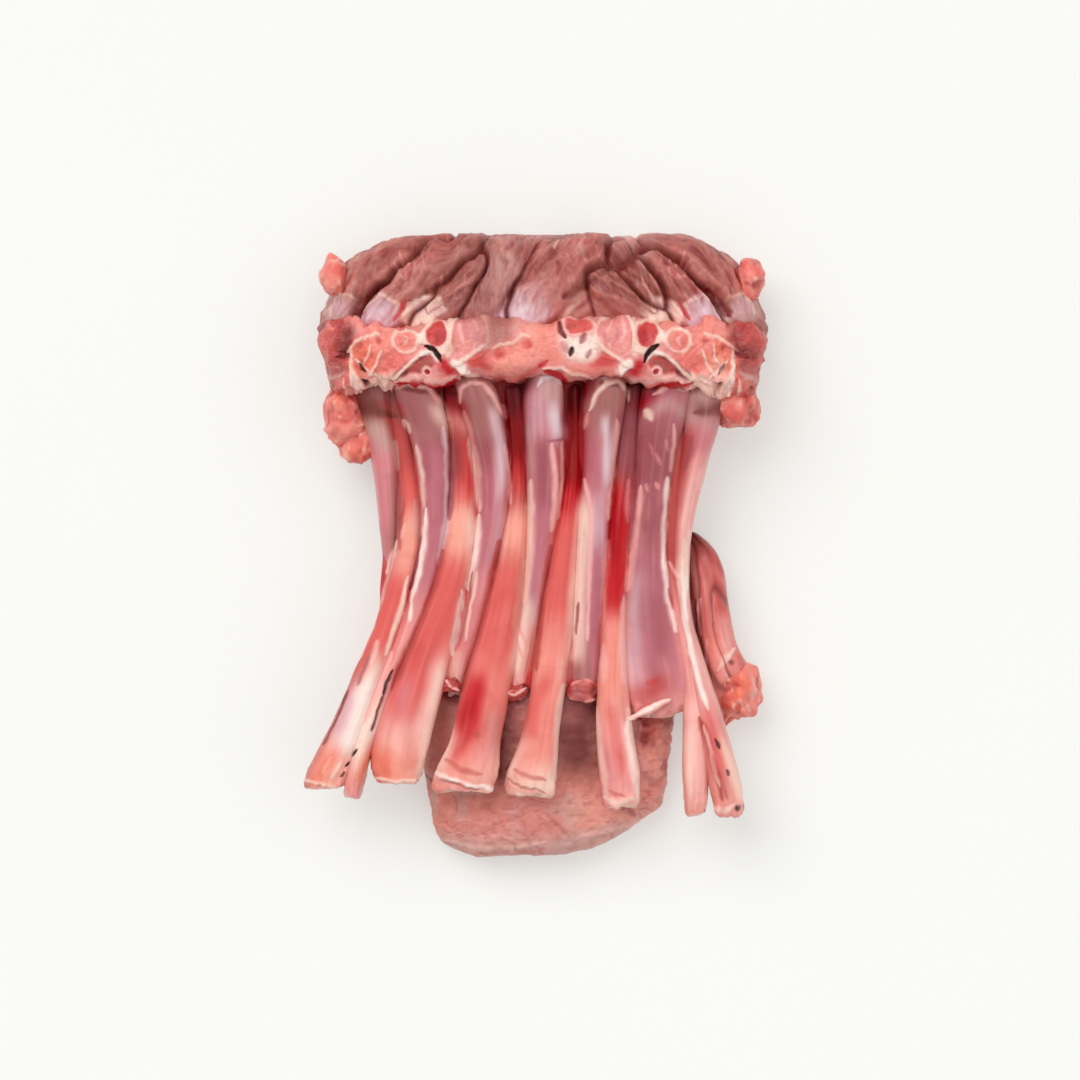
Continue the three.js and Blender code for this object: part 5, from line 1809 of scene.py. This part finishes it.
@dataclass(frozen=True)
class Strand:
    """A short roll or lip of torn membrane between two points."""

    name: str
    start: tuple[float, float]
    end: tuple[float, float]
    half: float
    top: float
    half_height: float
    finish: Flesh
    lumpy: float
    rows: int = 60
    cols: int = 40

    def path(self, t: Array) -> Array:
        """Centre: a straight line from start to end.

        Args:
            t: Places along it.

        Returns:
            Centres, n x 3.
        """
        x = self.start[0] + (self.end[0] - self.start[0]) * t
        y = self.start[1] + (self.end[1] - self.start[1]) * t
        return points_at(x, y, self.top - self.half_height)

    def build(self) -> bpy.types.Object:
        """Make the strand.

        Returns:
            The piece.
        """
        made = carry(
            self.path,
            lambda t: self.half * (1.0 + 0.12 * np.sin(9.0 * t + self.start[0])),
            steady(self.half_height),
            Section(rows=self.rows, cols=self.cols, blunt=2.6, square=2.2, crowd=0.6),
        )
        shell = made.shell
        size = max(self.half, 3.0)
        lumps = FIELD.at(made.x / size, made.y / size, made.z / size + 8.0, 3)
        cord = FIELD.at(made.side * 3.0 + self.half, made.t * 3.0, self.start[1])
        shell.paint(self.finish, TORN_STROKES)
        shell.lay(T.BLUSH, 0.4 * ease(0.2, 0.8, cord))
        shell.lay(T.WINE, 0.35 * ease(0.3, 0.9, -cord))
        shell.push(self.lumpy * lumps + 0.5 * self.lumpy * cord + shell.rise * made.top)
        return shell.piece(self.name, self.finish)


@dataclass(frozen=True)
class Lump:
    """A lump of fat or trimming: a ball stretched to three half sizes, with soft folds."""

    name: str
    centre: tuple[float, float, float]
    half: tuple[float, float, float]
    seed: float
    folds: float = 1.4

    def build(self) -> bpy.types.Object:
        """Make the lump.

        Returns:
            The piece.
        """
        def path(t: Array) -> Array:
            """Centre line through the lump along Y."""
            y = self.centre[1] + self.half[1] * (1.0 - 2.0 * t)
            return points_at(self.centre[0], y, self.centre[2])

        made = carry(path, steady(self.half[0]), steady(self.half[2]),
                     Section(rows=110, cols=110, blunt=2.2, square=2.1, crowd=1.0, top_share=0.6))
        shell = made.shell
        swell = FIELD.at(made.x / 9.0 + self.seed, made.y / 9.0, made.z / 9.0, 2)
        fold = FIELD.at(made.x / 5.0 + self.seed, made.y / 8.0, made.z / 8.0 + 3.0, 2)
        line = bell(fold, 0.0, 0.16) * ease(-0.3, 0.6, FIELD.at(made.x / 3.0, made.y / 3.0, made.z / 3.0, 2))
        shell.paint(FAT, FLAP_STROKES)
        shell.lay(T.ORANGE, 0.45 * ease(0.0, 0.8, swell))
        shell.lay(T.CREAM, 0.6 * line)
        # painted shade in the dips of the folds
        shell.lay(T.RUST, 0.35 * ease(0.3, 0.9, -fold))
        frill = FIELD.at(made.x / 3.8, made.y / 5.0, made.z / 5.0 + self.seed, 2)
        # painted shade in the dips of the frill
        shell.lay(T.RUST, 0.65 * ease(0.2, 0.8, -frill))
        shell.push(1.9 * swell + self.folds * (0.5 * line + 0.7 * fold) + 0.9 * frill + shell.rise * made.top)
        return shell.piece(self.name, FAT)


TRIMMINGS = (
    Lump("fat_back_left", (-90, 118, 24), (6, 9, 13), 1.0),
    Lump("fat_back_right", (97, 118, 24), (6, 9, 13), 2.0),
    Lump("fat_front_left", (-86, 57, 26), (9, 13, 12), 3.0),
    Lump("fat_flap_left", (-80, 46, 20), (10, 11, 11), 4.0),
    Lump("fat_front_right", (90, 60, 26), (11, 9, 14), 5.0),
    Lump("flap_fat", (91, -68, 15), (11, 13, 11), 6.0),
)
TORN_ROLLS = (
    Strand("torn_roll_1", (-43, -64), (-33, -66), 3.0, 34, 3.0, FLAP, lumpy=0.9),
    Strand("torn_roll_2", (-14, -70), (-3, -66), 3.0, 34, 3.0, FLAP, lumpy=0.9),
    Strand("torn_roll_3", (14, -67), (28, -68), 5.2, 36, 4.4, FLAP, lumpy=0.8),
    Strand("torn_lip", (40, -81), (61, -71), 1.6, 38, 1.6, FAT, lumpy=0.4, rows=80),
)


# ---- the studio


@dataclass
class Studio:
    """A pale floor, soft light and a camera straight above."""

    aim: tuple[float, float, float] = (1.26, 0.73, 25.0)
    frame_mm: float = 486.0
    lens: float = 200.0
    sensor: float = 36.0
    floor_half: float = 3.0  # this and the next in metres
    floor_z: float = -0.0003
    floor_glow: float = 0.40
    sky_strength: float = 0.57

    def floor(self) -> bpy.types.Object:
        """Make the floor, which isn't part of the rack.

        Returns:
            The floor.
        """
        half, z = self.floor_half, self.floor_z
        mesh = bpy.data.meshes.new("floor")
        corners = [(-half, -half, z), (half, -half, z), (half, half, z), (-half, half, z)]
        mesh.from_pydata(corners, [], [(0, 1, 2, 3)])
        g = Graph("floor_cream")
        place = g.node("ShaderNodeTexCoord").outputs["Object"]
        shader = g.node("ShaderNodeBsdfPrincipled")
        pale = g.mix(g.noise(place, 3.0, 2.0), (0.49, 0.50, 0.48, 1.0), (0.51, 0.52, 0.50, 1.0))
        g.put(shader.inputs["Base Color"], pale)
        shader.inputs["Emission Color"].default_value = (1.0, 1.0, 0.97, 1.0)
        shader.inputs["Emission Strength"].default_value = self.floor_glow
        g.put(shader.inputs["Roughness"], 0.7)
        g.put(g.node("ShaderNodeOutputMaterial").inputs["Surface"], shader.outputs[0])
        mesh.materials.append(g.material)
        made = bpy.data.objects.new("floor", mesh)
        bpy.context.scene.collection.objects.link(made)
        return made

    def sun(self, name: str, towards: tuple[float, float, float], strength: float,
            softness: float) -> bpy.types.Object:
        """Add a broad, even light.

        Args:
            name: Light name.
            towards: Where it comes from, as a direction.
            strength: Strength.
            softness: Angle over which it spreads, in degrees.

        Returns:
            The light.
        """
        data = bpy.data.lights.new(name, "SUN")
        data.energy = strength
        data.angle = float(np.radians(softness))
        made = bpy.data.objects.new(name, data)
        made.rotation_mode = "QUATERNION"
        made.rotation_quaternion = (-Vector(towards)).to_track_quat("-Z", "Y")
        made.location = Vector(towards)
        bpy.context.scene.collection.objects.link(made)
        return made

    def camera(self) -> bpy.types.Object:
        """Add the camera: far enough above for the frame to be frame_mm wide at the aim.

        Returns:
            The camera.
        """
        data = bpy.data.cameras.new("camera")
        data.lens = self.lens
        data.sensor_width = self.sensor
        data.clip_end = 20.0
        made = bpy.data.objects.new("camera", data)
        distance = self.frame_mm * self.lens / self.sensor
        made.location = (self.aim[0] * METRES, self.aim[1] * METRES, (self.aim[2] + distance) * METRES)
        bpy.context.scene.collection.objects.link(made)
        bpy.context.scene.camera = made
        return made

    def build(self) -> None:
        """Make the floor, the lights and the camera."""
        self.floor()
        world = bpy.data.worlds.new("soft_white")
        world.use_nodes = True
        sky = world.node_tree.nodes["Background"]
        sky.inputs["Color"].default_value = (1.0, 0.99, 0.98, 1.0)
        sky.inputs["Strength"].default_value = self.sky_strength
        bpy.context.scene.world = world
        self.sun("key", (-0.6, 0.8, 1.2), 1.45, 45.0)
        self.sun("fill", (0.7, 0.1, 1.1), 0.6, 80.0)
        self.camera()
        bpy.context.scene.view_settings.view_transform = "Standard"
        LOG.info("studio ready")


def main() -> None:
    """Build the rack in order: finishes, cap, cage, loin, chine, flap and trimmings, then the studio."""
    logging.basicConfig(level=logging.INFO, format="%(name)s %(message)s")
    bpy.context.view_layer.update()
    for finish in (LEAN, CAP_LEAN, HOLLOW, BONE, MEMBRANE, CHINE, FAT, FLAP):
        MATERIALS[finish.name] = finish.build()
    CapOfMeat().build()
    RibCage().build()
    Loin().build()
    Chine().build()
    for piece in (FLAP_SLAB,) + TRIMMINGS + TORN_ROLLS:
        piece.build()
    Studio().build()


if __name__ == "__main__":
    main()
